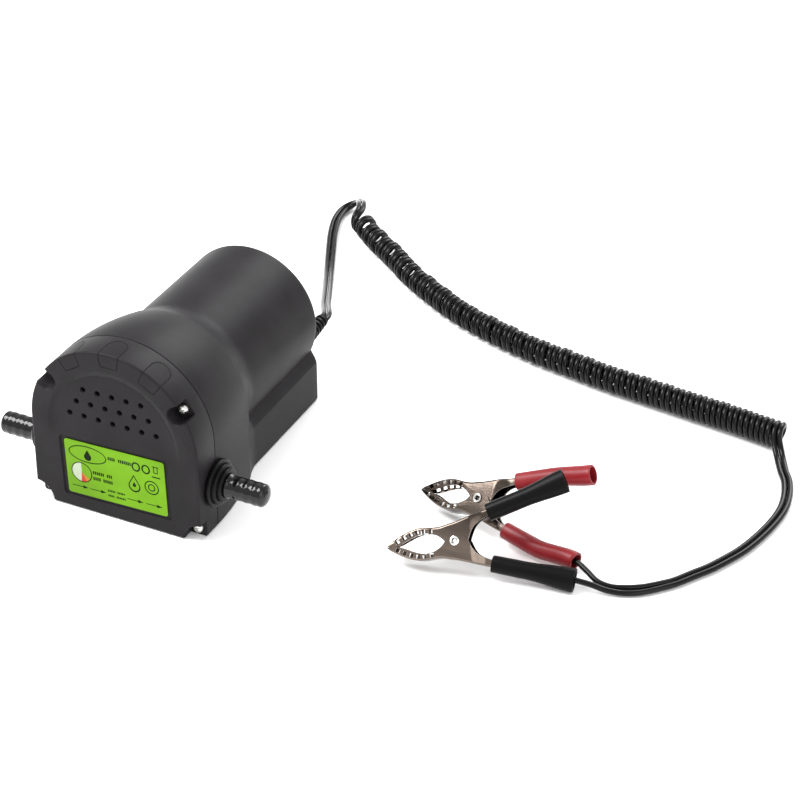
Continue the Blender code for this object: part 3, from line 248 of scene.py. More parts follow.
def smooth_route(route: Sequence[Point], spacing: float) -> list[Vector]:
    """Points a spacing apart, or a little less, on the Catmull-Rom curve through a route's points."""
    knots = [Vector(p) for p in route]
    knots = [2 * knots[0] - knots[1], *knots, 2 * knots[-1] - knots[-2]]
    points = []
    for before, start, end, after in zip(knots, knots[1:], knots[2:], knots[3:]):
        count = max(1, math.ceil((end - start).length / spacing))
        points += [between(before, start, end, after, i / count) for i in range(count)]
    points.append(knots[-2])
    return points


def stepped(table: Sequence[tuple[float, ...]], at: float) -> tuple[float, ...]:
    """The values of a table, whose rows start with a growing key, between its rows at a key."""
    for row, following in zip(table, table[1:]):
        if at <= following[0]:
            share = eased(max(0.0, (at - row[0]) / (following[0] - row[0])))
            return tuple(a + (b - a) * share for a, b in zip(row[1:], following[1:]))
    return tuple(table[-1][1:])


def collect(obj: bpy.types.Object) -> bpy.types.Object:
    """Links an object into the scene."""
    bpy.context.scene.collection.objects.link(obj)
    return obj


class Form:
    """A closed shape in the making, in millimetres."""

    def __init__(self) -> None:
        """Starts with nothing."""
        self.bm = bmesh.new()

    def loft(self, rings: Sequence[Sequence[Point]], capped: bool = True) -> "Form":
        """Skins through rings of equally many points.

        Args:
            rings: The rings in order, each a closed loop.
            capped: Whether both ends are filled. If not, the skin closes on its first ring.

        Returns:
            This form.
        """
        current = [self.bm.verts.new(p) for p in rings[0]]
        edges = [self.bm.edges.new(pair) for pair in zip(current, current[1:] + current[:1])]
        if capped:
            self.bm.faces.new(current)
        for ring in rings[1:] if capped else [*rings[1:], rings[0]]:
            places = {tuple(v.co): i for i, v in enumerate(current)}
            grown = bmesh.ops.extrude_edge_only(self.bm, edges=edges)["geom"]
            fresh = [v for v in grown if isinstance(v, bmesh.types.BMVert)]
            edges = self._rim(grown, set(fresh))
            ordered = {places[tuple(v.co)]: v for v in fresh}
            current = [ordered[i] for i in range(len(ring))]
            for vert, place in zip(current, ring):
                vert.co = place
        if capped:
            self.bm.faces.new(current)
        else:
            bmesh.ops.remove_doubles(self.bm, verts=self.bm.verts, dist=1e-4)
        return self

    @staticmethod
    def _rim(grown: Iterable, fresh: set) -> list:
        """The new edges that join two new points."""
        return [
            e
            for e in grown
            if isinstance(e, bmesh.types.BMEdge) and e.verts[0] in fresh and e.verts[1] in fresh
        ]

    def turned(self, profile: Sequence[Point], steps: int, closed: bool = False) -> "Form":
        """Spins a profile of (radius, height) points once round the z axis.

        Args:
            profile: The points, from end to end of the outside.
            steps: How many sides the turned shape has.
            closed: Whether the profile's last point joins its first, as a ring's does.

        Returns:
            This form.
        """
        verts = [self.bm.verts.new((radius, 0, height)) for radius, height in profile]
        pairs = list(zip(verts, verts[1:] + verts[:1])) if closed else list(zip(verts, verts[1:]))
        edges = [self.bm.edges.new(pair) for pair in pairs]
        bmesh.ops.spin(
            self.bm, geom=[*verts, *edges], cent=(0, 0, 0), axis=(0, 0, 1), angle=TAU, steps=steps,
            use_merge=True
        )
        bmesh.ops.remove_doubles(self.bm, verts=self.bm.verts, dist=1e-4)
        return self

    def slab(self, outline: Sequence[Point], low: float, high: float) -> "Form":
        """A flat outline with thickness, from z = low to z = high."""
        face = self.bm.faces.new([self.bm.verts.new((x, y, low)) for x, y in outline])
        grown = bmesh.ops.extrude_face_region(self.bm, geom=[face])["geom"]
        fresh = [v for v in grown if isinstance(v, bmesh.types.BMVert)]
        bmesh.ops.translate(self.bm, verts=fresh, vec=(0, 0, high - low))
        return self

    def block(self, low: Point, high: Point) -> "Form":
        """A box between two corners."""
        low, high = Vector(low), Vector(high)
        made = bmesh.ops.create_cube(self.bm, size=1.0)["verts"]
        bmesh.ops.scale(self.bm, verts=made, vec=high - low)
        bmesh.ops.translate(self.bm, verts=made, vec=(low + high) / 2)
        return self

    def bar(self, radius: float, low: float, high: float, sides: int = 48) -> "Form":
        """A cylinder along z."""
        made = bmesh.ops.create_cone(
            self.bm, cap_ends=True, segments=sides, radius1=radius, radius2=radius, depth=high - low
        )["verts"]
        bmesh.ops.translate(self.bm, verts=made, vec=(0, 0, (low + high) / 2))
        return self

    def rounded(self, width: float, segments: int = 3, above_deg: float = 30.0) -> "Form":
        """Rounds every edge that is sharper than an angle."""
        sharp = [e for e in self.bm.edges if e.is_manifold and e.calc_face_angle(0) > math.radians(above_deg)]
        bmesh.ops.bevel(
            self.bm, geom=sharp, offset=width, segments=segments, profile=0.5, affect="EDGES",
            material=-1, clamp_overlap=True,
        )
        return self

    def sliced(self, point: Point, normal: Point) -> "Form":
        """Keeps what lies behind a plane and fills the cut."""
        geometry = self.bm.verts[:] + self.bm.edges[:] + self.bm.faces[:]
        cut = bmesh.ops.bisect_plane(
            self.bm, geom=geometry, plane_co=point, plane_no=normal, clear_outer=True, dist=1e-6
        )["geom_cut"]
        edges = [e for e in cut if isinstance(e, bmesh.types.BMEdge)]
        bmesh.ops.edgeloop_fill(self.bm, edges=edges)
        return self

    def mesh(self, name: str, matrix: Matrix, sharp_deg: float) -> bpy.types.Mesh:
        """Places the shape, turns its faces outwards and shades it smooth up to an angle.

        Args:
            name: The mesh's name.
            matrix: The way from the shape's millimetres to metres in the shared frame.
            sharp_deg: The angle past which an edge stays sharp.

        Returns:
            The mesh.
        """
        bmesh.ops.transform(self.bm, matrix=matrix, verts=self.bm.verts)
        bmesh.ops.recalc_face_normals(self.bm, faces=self.bm.faces)
        mesh = bpy.data.meshes.new(name)
        self.bm.to_mesh(mesh)
        self.bm.free()
        mesh.shade_smooth()
        mesh.set_sharp_from_angle(angle=math.radians(sharp_deg))
        return mesh

    def piece(
        self, name: str, finish: Finish, matrix: Matrix = BODY, body: str = "pump",
        replaces: Iterable[str] = (), sharp_deg: float = 30.0,
    ) -> bpy.types.Object:
        """Turns the shape into a finished piece.

        Args:
            name: The piece's name.
            finish: Its finish.
            matrix: The way from the shape's millimetres to metres in the shared frame.
            body: The body that it rides on.
            replaces: The plainer nodes that it stands for.
            sharp_deg: The angle past which an edge stays sharp.

        Returns:
            The piece.
        """
        obj = collect(bpy.data.objects.new(name, self.mesh(name, matrix, sharp_deg)))
        return dress(obj, finish, body, replaces)

    def cutter(self, matrix: Matrix = BODY) -> bpy.types.Object:
        """A helper object that is used to carve a piece and then removed."""
        return collect(bpy.data.objects.new("cutter", self.mesh("cutter", matrix, 30)))


def dress(obj: bpy.types.Object, finish: Finish, body: str, replaces: Iterable[str] = ()) -> bpy.types.Object:
    """Gives a piece its finish, its body and the nodes that it stands for."""
    obj.data.materials.clear()
    obj.data.materials.append(finish.material())
    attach(obj, body)
    names = list(replaces)
    if names:
        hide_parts(*names)
    LOG.info("%s in %s", obj.name, finish.name)
    return obj


def carve(
    obj: bpy.types.Object, helpers: Sequence[bpy.types.Object], operation: str = "DIFFERENCE",
    sharp_deg: float = 30.0
) -> bpy.types.Object:
    """Cuts helpers from a piece, or joins them to it, and removes them.

    Args:
        obj: The piece.
        helpers: The shapes to cut or join, one after another.
        operation: DIFFERENCE or UNION.
        sharp_deg: The angle past which an edge stays sharp.

    Returns:
        The piece, with its new mesh.
    """
    for helper in helpers:
        step = obj.modifiers.new("carve", "BOOLEAN")
        step.operation = operation
        step.solver = "EXACT"
        step.object = helper
    bpy.context.view_layer.update()
    done = bpy.data.meshes.new_from_object(obj.evaluated_get(bpy.context.evaluated_depsgraph_get()))
    obj.modifiers.clear()
    old = obj.data
    done.name = obj.name
    obj.data = done
    bpy.data.meshes.remove(old)
    for helper in helpers:
        bpy.data.objects.remove(helper, do_unlink=True)
    done.shade_smooth()
    done.set_sharp_from_angle(angle=math.radians(sharp_deg))
    return obj


def wire(
    name: str, points: Sequence[Point], radius: float, sides: int = 4, closed: bool = False
) -> bpy.types.Object:
    """A round wire as a curve of one spline, with its points in metres."""
    curve = bpy.data.curves.new(name, "CURVE")
    curve.dimensions = "3D"
    curve.bevel_depth = radius * MM
    curve.bevel_resolution = sides
    curve.use_fill_caps = not closed
    spline = curve.splines.new("POLY")
    spline.points.add(len(points) - 1)
    for point, place in zip(spline.points, points):
        point.co = (*place, 1)
    spline.use_cyclic_u = closed
    return collect(bpy.data.objects.new(name, curve))


@dataclass
class Studio:
    """The camera, the soft lights and the pale floor."""

    lens: float = 126.0
    camera_place: Point = (693.88, -1055.06, 893.43)
    azimuth: float = 26.294
    elevation: float = 33.052

    def build(self) -> None:
        """Makes the camera, the lights, the sky and the floor."""
        self._camera()
        self._light("key_light", (-1.0, -0.5, 1.8), 1.1, 62)
        self._light("fill_light", (1.6, -0.9, 0.9), 1.4, 12)
        self._light("back_light", (0.2, 1.7, 1.3), 1.2, 30)
        world = bpy.data.worlds.new("studio_air")
        world.use_nodes = True
        sky = world.node_tree.nodes["Background"]
        sky.inputs["Color"].default_value = (1, 1, 1, 1)
        sky.inputs["Strength"].default_value = 1.05
        bpy.context.scene.world = world
        bpy.context.scene.view_settings.view_transform = "Standard"
        bm = bmesh.new()
        bmesh.ops.create_grid(bm, x_segments=1, y_segments=1, size=6)
        bmesh.ops.translate(bm, verts=bm.verts, vec=(0, 0, -0.0005))
        mesh = bpy.data.meshes.new("floor")
        bm.to_mesh(mesh)
        bm.free()
        mesh.materials.append(FLOOR.material())
        collect(bpy.data.objects.new("floor", mesh))

    def _camera(self) -> None:
        """Places the camera at its distance behind its line of sight."""
        data = bpy.data.cameras.new("camera")
        data.lens = self.lens
        data.sensor_width = 36
        data.clip_end = 50
        camera = collect(bpy.data.objects.new("camera", data))
        x, y, z = self.camera_place
        camera.location = (x * MM, y * MM + FACE_Y, z * MM)
        a, e = math.radians(self.azimuth), math.radians(self.elevation)
        back = Vector((math.sin(a) * math.cos(e), -math.cos(a) * math.cos(e), math.sin(e)))
        camera.rotation_mode = "QUATERNION"
        camera.rotation_quaternion = (-back).to_track_quat("-Z", "Y")
        bpy.context.scene.camera = camera

    @staticmethod
    def _light(name: str, place: Point, size: float, power: float) -> None:
        """A square soft light that faces the pump."""
        data = bpy.data.lights.new(name, "AREA")
        data.size = size
        data.energy = power
        light = collect(bpy.data.objects.new(name, data))
        light.location = place
        light.rotation_mode = "QUATERNION"
        light.rotation_quaternion = (Vector((0.08, 0.03, 0.03)) - Vector(place)).to_track_quat("-Z", "Y")


@dataclass
class CurlyCord:
    """The twin cord: two wires side by side in a lead, a curl and a tail, then apart to the clips."""

    wire_radius: float = 1.65
    half_pair: float = 1.7
    turns: int = 43
    steps_per_turn: int = 22
    tight_pitch: float = 6.8
    loose_extra: float = 3.0
    first_phase_deg: float = 80.0
    last_phase_deg: float = 180.0
    spacing: float = 2.5
    exit: Point = (RELIEF_X, 184.0, RELIEF_Z)
    lead: Sequence[Point] = (
        (31.0, 181.0, 36.0), (31.0, 184.6, 36.0), (30.2, 190.0, 35.4), (26.8, 197.0, 33.2),
        (17.8, 213.2, 27.0), (7.1, 234.9, 19.6), (-5.2, 259.8, 11.6), (-16.2, 282.1, 5.6),
        (-24.9, 300.1, 2.9), (-32.1, 315.4, 2.1), (-38.6, 329.8, 1.8), (-44.2, 344.9, 1.8),
        (-46.5, 356.0, 1.8), (-46.2, 363.0, 2.2), (-43.4, 367.2, 3.6), (-39.2, 367.4, 6.2),
        (-35.2, 363.6, 9.4), (-31.8, 357.6, 12.2), (-28.6, 350.8, 13.8),
    )
    coil: Sequence[Point] = (
        (-26.0, 344.4, 0.0), (-13.0, 332.8, 0.0), (-1.0, 323.0, 0.0), (18.0, 309.0, 0.0), (34.0, 296.5, 0.0),
        (50.0, 286.0, 0.0), (66.0, 276.5, 0.0), (82.0, 268.5, 0.0), (102.0, 260.5, 0.0), (122.0, 254.0, 0.0),
        (144.0, 248.5, 0.0), (166.0, 244.5, 0.0), (186.0, 241.0, 0.0), (205.0, 238.5, 0.0),
        (228.0, 236.0, 0.0), (250.0, 233.5, 0.0), (270.0, 231.5, 0.0), (289.0, 229.0, 0.0),
        (302.0, 227.0, 0.0),
    )
    tail: Sequence[Point] = (
        (303.4, 218.4, 5.4), (305.8, 214.9, 3.0), (309.0, 209.4, 1.8), (312.4, 203.0, 1.8),
        (317.9, 193.8, 1.8), (322.2, 181.7, 1.8), (324.6, 168.6, 1.8), (324.4, 154.5, 1.8),
        (322.0, 137.7, 1.8), (318.2, 122.2, 1.8), (313.3, 109.8, 1.8), (308.1, 98.8, 1.8), (302.3, 89.4, 1.8),
        (296.6, 79.9, 1.8), (290.3, 72.0, 1.8),
    )
    black_end: Sequence[Point] = (
        (287.0, 66.0, 1.8), (281.0, 61.0, 1.8), (274.0, 57.6, 1.8), (266.0, 55.2, 2.8), (258.6, 53.4, 5.0),
        (250.0, 51.7, 6.3), (240.0, 49.9, 6.7), (228.0, 47.6, 7.1), (216.0, 45.4, 7.6), (206.0, 43.8, 8.2),
    )
    red_end: Sequence[Point] = (
        (284.6, 69.6, 1.8), (280.2, 66.2, 1.8), (275.0, 63.2, 1.8), (267.6, 60.4, 1.8), (259.4, 60.6, 2.6),
        (251.6, 64.2, 4.6), (244.0, 67.3, 6.2), (236.2, 66.7, 6.2), (227.7, 66.8, 6.3), (218.6, 68.9, 6.5),
        (208.5, 71.9, 7.0), (200.0, 74.5, 7.6),
    )
    lengths: dict[str, float] = field(default_factory=dict)
    pieces: dict[str, bpy.types.Object] = field(default_factory=dict)

    def build(self) -> None:
        """Makes both wires. The black one stands for the lead, the curly stretch and the tail as well."""
        pair = self._pair()
        routes = {
            "black": ([p + s * self.half_pair for p, s in pair], self.black_end),
            "red": ([p - s * self.half_pair for p, s in pair], self.red_end),
        }
        stands_for = {"black": ["cord_lead", "cord_coil", "cord_tail", "black_wire"], "red": ["red_wire"]}
        for colour, (run, end) in routes.items():
            name = f"{colour}_supply_wire"
            knots = [run[-9], run[-5], *[Vector(p) for p in end]]
            joined = run[:-5] + smooth_route(knots, self.spacing)[self._count(knots[0], knots[1]):]
            points = [BODY @ self._above_floor(p) for p in joined]
            piece = wire(name, points, self.wire_radius, 4)
            dress(piece, CORD_BLACK, "pump", stands_for[colour])
            self.lengths[colour] = sum((b - a).length for a, b in zip(points, points[1:]))
            self.pieces[colour] = piece
            LOG.info("%s is %.2f m long", name, self.lengths[colour])

    def _count(self, start: Vector, end: Vector) -> int:
        """How many points the smooth route has before its second knot."""
        return max(1, math.ceil((end - start).length / self.spacing))

    def _above_floor(self, point: Vector) -> Vector:
        """The point, no lower than a wire that lies on the floor."""
        return Vector((point.x, point.y, max(point.z, self.wire_radius + 0.1)))

    def _pair(self) -> list[tuple[Vector, Vector]]:
        """Lays out the pair from the pump to the split.

        Returns:
            The points of the pair's middle line, each with the way from it to the black wire.
        """
        line = [(p, None) for p in smooth_route(self.lead, self.spacing)]
        first_join = len(line)
        line += self._curls()
        second_join = len(line)
        line += [(p, None) for p in smooth_route(self.tail, self.spacing)]
        points = [p for p, _ in line]
        sides = []
        for i, (_, side) in enumerate(line):
            if side is None:
                ahead = points[min(i + 1, len(points) - 1)] - points[max(i - 1, 0)]
                side = Vector((0, 0, 1)).cross(ahead).normalized()
            sides.append(side)
        for join in (first_join, second_join):
            for _ in range(6):
                for i in range(join - 8, join + 8):
                    points[i] = (points[i - 1] + 2 * points[i] + points[i + 1]) / 4
                    sides[i] = (sides[i - 1] + 2 * sides[i] + sides[i + 1]).normalized()
        return list(zip(points, sides))

    def _curls(self) -> list[tuple[Vector, Vector]]:
        """Lays out the curl: a helix with close turns at its far end and looser ones near the pump.

        Returns:
            The points of the pair's middle line, each with the way from it to the black wire.
        """
        axis = smooth_route(self.coil, 0.25)
        gaps = [(b - a).length for a, b in zip(axis, axis[1:])]
        total = sum(gaps)
        along, reach = [0.0], 0.0
        phase = [0.0]
        for gap in gaps:
            reach += gap
            pitch = self.tight_pitch + self.loose_extra * (1 - reach / total) ** 1.2
            along.append(reach)
            phase.append(phase[-1] + gap / pitch)
        wanted = self.turns + (self.last_phase_deg - self.first_phase_deg) / 360
        scale = wanted / phase[-1]
        result = []
        count = int(wanted * self.steps_per_turn)
        place = 0
        for i in range(count + 1):
            turn = wanted * i / count
            while place < len(phase) - 2 and phase[place + 1] * scale < turn:
                place += 1
            low, high = phase[place] * scale, phase[place + 1] * scale
            share = min(1.0, max(0.0, (turn - low) / (high - low)))
            centre = axis[place].lerp(axis[place + 1], share)
            forward = (axis[min(place + 2, len(axis) - 1)] - axis[max(place - 2, 0)]).normalized()
            across = Vector((0, 0, 1)).cross(forward)
            progress = along[place] / total
            wobble = 0.22 * math.sin(turn * 2.7) + 0.16 * math.sin(turn * 5.3 + 1.0)
            radius = 5.8 + 0.75 * progress + wobble * (1.2 - progress)
            angle = math.radians(self.first_phase_deg) + TAU * turn
            centre = centre + Vector((0, 0, radius + self.wire_radius + 0.15))
            outward = math.cos(angle) * across + math.sin(angle) * Vector((0, 0, 1))
            result.append((centre + radius * outward, forward))
        return result


@dataclass
class Housing:
    """The moulded body: the front cover and the rear housing, both shells on one arched outline."""

    face_radius: float = 52.0
    face_axis_z: float = 54.0
    wall: float = 2.6
    plate: float = 3.9
    cover_depth: float = 19.0
    gap: float = 0.3
    length: float = REAR_Y
    front_round: float = 1.3
    shoulder: Point = (66.0, 46.4, 50.7)
    barrel: Point = (80.0, 42.5, 50.0)
    plinth_top: float = 25.6
    plinth_proud: float = 0.1
    arch_steps: int = 96
    screw_radius: float = 47.0
    upper_screw_deg: float = 31.5
    lower_screw: Point = (46.8, 4.9)
    upper_pocket_y: float = 9.5
    lower_notch_y: float = 7.7
    upper_boss: float = 7.4
    lower_boss: float = 12.6
    port_hole: float = 10.3
    label_recess_y: float = 1.0
    panel_depth: float = 1.8
    panel_foot_z: float = 45.0
    panel_height: float = 50.0
    top_vent_z: float = 78.5
    vent_row_drop: float = 8.3
    vent_pitch: float = 9.0
    tab_angles: Point = (59.0, 90.0, 121.0)
    tab_half_deg: float = 6.7
    groove_radius: float = 0.32

    def build(self) -> None:
        """Makes the cover, the housing and the screws that hold them together."""
        self._cover()
        self._rear()
        self._screws()

    def section(self, y: float) -> tuple[float, float, float]:
        """The body's section at a depth.

        Args:
            y: The depth behind the front face.

        Returns:
            The arch's radius, its axis height and the angle that it runs on below its axis.
        """
        start = self.cover_depth + self.gap
        step_y, step_radius, step_z = self.shoulder
        end_y, end_radius, end_z = self.barrel
        if y <= start:
            return self.face_radius, self.face_axis_z, 0.0
        if y <= step_y:
            t = ((y - start) / (step_y - start)) ** 1.8
            return (self.face_radius + (step_radius - self.face_radius) * t,
                    self.face_axis_z + (step_z - self.face_axis_z) * t, 0.0)
        t = min(1.0, (y - step_y) / (end_y - step_y))
        ease = (1 - t) ** 1.6
        taper = 0.5 * max(0.0, y - end_y) / (self.length - end_y)
        return (end_radius + (step_radius - end_radius) * ease - taper,
                end_z + (step_z - end_z) * ease - taper * 0.4, 25.0 * math.sin(t * math.pi / 2) ** 1.2)

    def ring(
        self, y: float, inset: float = 0.0, floor: float | None = None, shrink: float = 0.0
    ) -> list[Vector]:
        """The body's outline at depth y.

        Args:
            y: The depth behind the front face.
            inset: How far the outline lies inside the outer skin.
            floor: The outline's lowest height. It is the inset if none is given.
            shrink: How far the rounding of an end pulls the outline in.

        Returns:
            The outline's points, from the right end of the arch over its top and back along the floor.
        """
        radius, axis_z, undercut = self.section(y)
        side = radius + self.plinth_proud * min(1.0, y / self.cover_depth) - inset - shrink
        low = (inset if floor is None else floor) + shrink
        arch = arc(radius - inset - shrink, -undercut, 180 + undercut, self.arch_steps, (0.0, axis_z))
        end = Vector(arch[-1])
        corner = Vector((-side, self.plinth_top))
        above = corner + (end - corner) * 0.25
        below = corner - Vector((0, 1.6))
        bend = (above + 2 * corner + below) / 4
        foot = arc(1.0, 180, 270, 4, (1.0 - side, low + 1.0))
        left = [(end + above) / 2, above, bend, below, *[Vector(p) for p in foot]]
        right = [Vector((-p.x, p.y)) for p in reversed(left)]
        return [Vector((p[0], y, p[1])) for p in [*arch, *left, *right]]

    def _cover(self) -> None:
        """The front cover: a shallow shell with a rounded front edge, screw pockets, vents and recesses."""
        depth = self.cover_depth
        rings = [
            self.ring(self.plate, self.wall), self.ring(depth - 0.3, self.wall),
            self.ring(depth, self.wall - 0.3),
        ]
        rings += [
            self.ring(depth, 0.35, 0.2), self.ring(depth - 0.1, 0.1, 0.08), self.ring(depth - 0.35, 0.0, 0.0)
        ]
        rings += [self.ring(y, 0.0, 0.0) for y in (14.0, 9.0, 4.0)]
        for i in range(8):
            angle = math.radians(90 * i / 7)
            inset = self.front_round * (1 - math.cos(angle))
            rings.append(self.ring(self.front_round * (1 - math.sin(angle)), inset, inset * 0.5))
        cover = Form().loft(rings).piece(
            "moulded_front_cover", CHARCOAL, replaces=["front_cover"], sharp_deg=24
        )
        bosses = []
        for x, z, upper in self._screw_places():
            corner = (x, 0, z) if upper else (math.copysign(self.face_radius, x), 0, 0)
            form = Form().bar(self.upper_boss if upper else self.lower_boss, self.plate - 1, depth - 0.2)
            bosses.append(form.cutter(BODY @ Matrix.Translation(corner) @ TO_REAR))
        carve(cover, bosses, "UNION")
        trim = Form().loft([self.ring(y, -20.0, -20.0) for y in (-2.0, depth + 2)])
        keep = Form().loft([self.ring(-4.0, 0.0, 0.0), self.ring(depth + 4, 0.0, 0.0)])
        outside = trim.cutter()
        carve(outside, [keep.cutter()])
        carve(cover, [outside])
        pockets = [
            self._upper_pocket(x, z) if upper else self._lower_notch(x)
            for x, z, upper in self._screw_places()
        ]
        carve(cover, [*pockets, self._port_hole(), self._label_recess(), self._arch_panel()])
        carve(cover, [*self._vents(), *self._tabs()], sharp_deg=24)

    def _screw_places(self) -> list[tuple[float, float, bool]]:
        """Each cover screw's x, its z and whether it is an upper one."""
        angle = math.radians(self.upper_screw_deg)
        x, z = self.screw_radius * math.cos(angle), self.face_axis_z + self.screw_radius * math.sin(angle)
        low_x, low_z = self.lower_screw
        return [(-x, z, True), (x, z, True), (-low_x, low_z, False), (low_x, low_z, False)]

    def _upper_pocket(self, x: float, z: float) -> bpy.types.Object:
        """A round-ended slot that opens outwards, with its rim rounded."""
        rings = []
        rim = ((11.0, 0.55), (9.5, 0.55), (9.3, 0.3), (8.95, 0.08), (8.6, 0.0), (0.15, -0.12), (0.0, -0.3))
        for height, grow in rim:
            radius = 5.2 + grow
            outline = arc(radius, 90, 270, 20) + [(14.0, -radius), (14.0, radius)]
            rings.append([(px, py, height) for px, py in outline])
        outward = math.atan2(z - self.face_axis_z, x)
        turn = TO_FACE @ Matrix.Rotation(outward, 4, "Z")
        return Form().loft(rings).cutter(BODY @ Matrix.Translation((x, self.upper_pocket_y, z)) @ turn)

    def _lower_notch(self, x: float) -> bpy.types.Object:
        """A round bite out of a bottom corner, with its rim rounded."""
        rim = [(11.05, 9.0), (11.05, 7.7), (10.8, 7.5), (10.58, 7.15), (10.5, 6.8)]
        profile = [(0, 9.0), *rim, (10.4, 0.15), (10.2, 0), (0, 0)]
        place = Matrix.Translation((math.copysign(self.face_radius, x), self.lower_notch_y, 0))
        return Form().turned(profile, 72).cutter(BODY @ place @ TO_FACE)

    def _port_hole(self) -> bpy.types.Object:
        """The hole for both port grommets, right through the body."""
        place = Matrix.Translation((0, PORT_Y, PORT_Z))
        return Form().bar(self.port_hole, -70, 70, 72).cutter(BODY @ place @ TO_X)

    def _label_recess(self) -> bpy.types.Object:
        """The shallow tilted rectangle that the label sits in."""
        rings = []
        for height, grow in ((2.0, 0.35), (1.0, 0.35), (0.85, 0.12), (0.6, 0.0), (0.12, -0.1), (0.0, -0.25)):
            outline = rounded_box(34.2 + grow, 19.5 + grow, 2.4 + grow, 6)
            rings.append([(px, py, height) for px, py in outline])
        place = Matrix.Translation((0, self.label_recess_y, LABEL_Z)) @ LABEL_LEAN @ TO_FACE
        return Form().loft(rings).cutter(BODY @ place)

    def _arch_panel(self) -> bpy.types.Object:
        """A leaning arch that is deepest at its top, with a wide soft edge, and fades out above the label."""
        edge = (
            (-1.0, 41.6), (0.0, 41.0), (0.12, 40.3), (0.5, 39.2),
            (1.0, 38.1), (1.5, 37.2), (1.9, 36.6), (2.6, 36.2),
        )
        rings = []
        for depth, radius in edge:
            outline = arc(radius, 0, 180, 72, (0.0, 53.5)) + [(-radius, 40.0), (radius, 40.0)]
            rings.append([(px, depth, pz) for px, pz in outline])
        form = Form().loft(rings)
        lean = self.panel_depth / self.panel_height
        form.sliced((0, 0, self.panel_foot_z), Vector((0, 1, -lean)).normalized())
        return form.cutter()

    def _vents(self) -> list[bpy.types.Object]:
        """Three staggered rows of round vents with softened rims."""
        rim = [(2.0, 2.0), (2.0, 0.1), (1.85, -0.02), (1.68, -0.15), (1.6, -0.4)]
        profile = [(0, 2.0), *rim, (1.6, -6.0), (0, -6.0)]
        vents = []
        for row, count in enumerate((5, 6, 7)):
            z = self.top_vent_z - self.vent_row_drop * row
            skin = self.panel_depth * (z - self.panel_foot_z) / self.panel_height
            for i in range(count):
                place = Matrix.Translation((self.vent_pitch * (i - (count - 1) / 2), skin, z))
                vents.append(Form().turned(profile, 28).cutter(BODY @ place @ TO_FACE))
        return vents

    def _tabs(self) -> list[bpy.types.Object]:
        """Makes the three thin tab outlines that run from the face over the arch's edge.

        Returns:
            A thin closed line for each, to carve a groove with.
        """
        half, skin = self.tab_half_deg, self.face_radius
        down = [(50.5, half, 0.0), (47.2, half, 0.0), (44.6, half, 0.0), (44.0, half * 0.94, 0.0)]
        over = [
            (51.3, half, 0.12), (51.85, half, 0.5), (skin, half, 1.2), (skin, half, 5.0), (skin, half, 9.0)
        ]
        turns = [math.radians(a) for a in range(12, 169, 12)]
        end = [(skin, half * math.cos(a), 9 + 6.1 * math.sin(a)) for a in turns]
        side = [*reversed(over), *down]
        path = [*side, *[(r, -a, y) for r, a, y in reversed(side)], *reversed(end)]
        grooves = []
        for centre_deg in self.tab_angles:
            points = []
            for radius, angle, y in path:
                turn = math.radians(centre_deg + angle)
                x, z = radius * math.cos(turn), self.face_axis_z + radius * math.sin(turn)
                points.append(BODY @ Vector((x, y, z)))
            line = wire("groove", points, self.groove_radius, 1, closed=True)
            mesh = bpy.data.meshes.new_from_object(line.evaluated_get(bpy.context.evaluated_depsgraph_get()))
            bpy.data.objects.remove(line, do_unlink=True)
            grooves.append(collect(bpy.data.objects.new("cutter", mesh)))
        return grooves

    def _rear(self) -> None:
        """The rear housing: a shell that narrows, steps down to a barrel and ends in a rounded rear wall."""
        start = self.cover_depth + self.gap
        step_y = self.shoulder[0]
        outer = [start + 0.35 + (step_y - start - 0.35) * i / 16 for i in range(17)]
        outer += [step_y + 0.875 * i for i in range(1, 17)]
        outer += [82.0, 86.0, 92.0, 100.0, 112.0, 125.0, 140.0, 150.0, 154.0]
        inner = [start + 0.3, *outer[1:33:2], 92.0, 125.0, self.length - self.wall]
        rings = [self.ring(y, self.wall) for y in reversed(inner)]
        rings += [
            self.ring(start, self.wall - 0.3), self.ring(start, 0.35, 0.2), self.ring(start + 0.1, 0.1, 0.08)
        ]
        rings += [self.ring(y, 0.0, 0.0) for y in outer]
        for i in range(1, 11):
            angle = math.radians(90 * i / 10)
            rings.append(self.ring(154 + 4 * math.sin(angle), 0.0, 0.0, 3.2 * (1 - math.cos(angle))))
        housing = Form().loft(rings).piece(
            "moulded_rear_housing", CHARCOAL, replaces=["rear_housing"], sharp_deg=11.5
        )
        window = Form().block((-9.5, self.length - 6, 55.5), (9.5, self.length + 2, 68.5)).cutter()
        relief_place = Matrix.Translation((RELIEF_X, self.length, RELIEF_Z)) @ TO_REAR
        relief = Form().bar(4.3, -6, 3, 48).cutter(BODY @ relief_place)
        carve(housing, [self._port_hole(), window, relief], sharp_deg=11.5)

    def _screws(self) -> None:
        """The four pan-head cover screws."""
        names = ("upper_left", "upper_right", "lower_left", "lower_right")
        head = [(0, 2.25), (1.2, 2.2), (2.2, 1.95), (2.85, 1.4), (3.1, 0.7), (3.1, 0.05), (3.0, 0)]
        profile = [*head, (1.5, 0), (1.5, -18), (0, -20)]
        for name, (x, z, upper) in zip(names, self._screw_places()):
            depth = self.upper_pocket_y if upper else self.lower_notch_y
            place = BODY @ Matrix.Translation((x, depth - self.gap, z)) @ TO_FACE
            screw = Form().turned(profile, 40).piece(
                f"bright_screw_{name}", ZINC, place, replaces=[f"cover_screw_{name}"]
            )
            arms = []
            for angle in (20, 110):
                turn = Matrix.Rotation(math.radians(angle), 4, "Z")
                arms.append(Form().block((-1.75, -0.36, 0.8), (1.75, 0.36, 3)).cutter(place @ turn))
            carve(screw, arms)


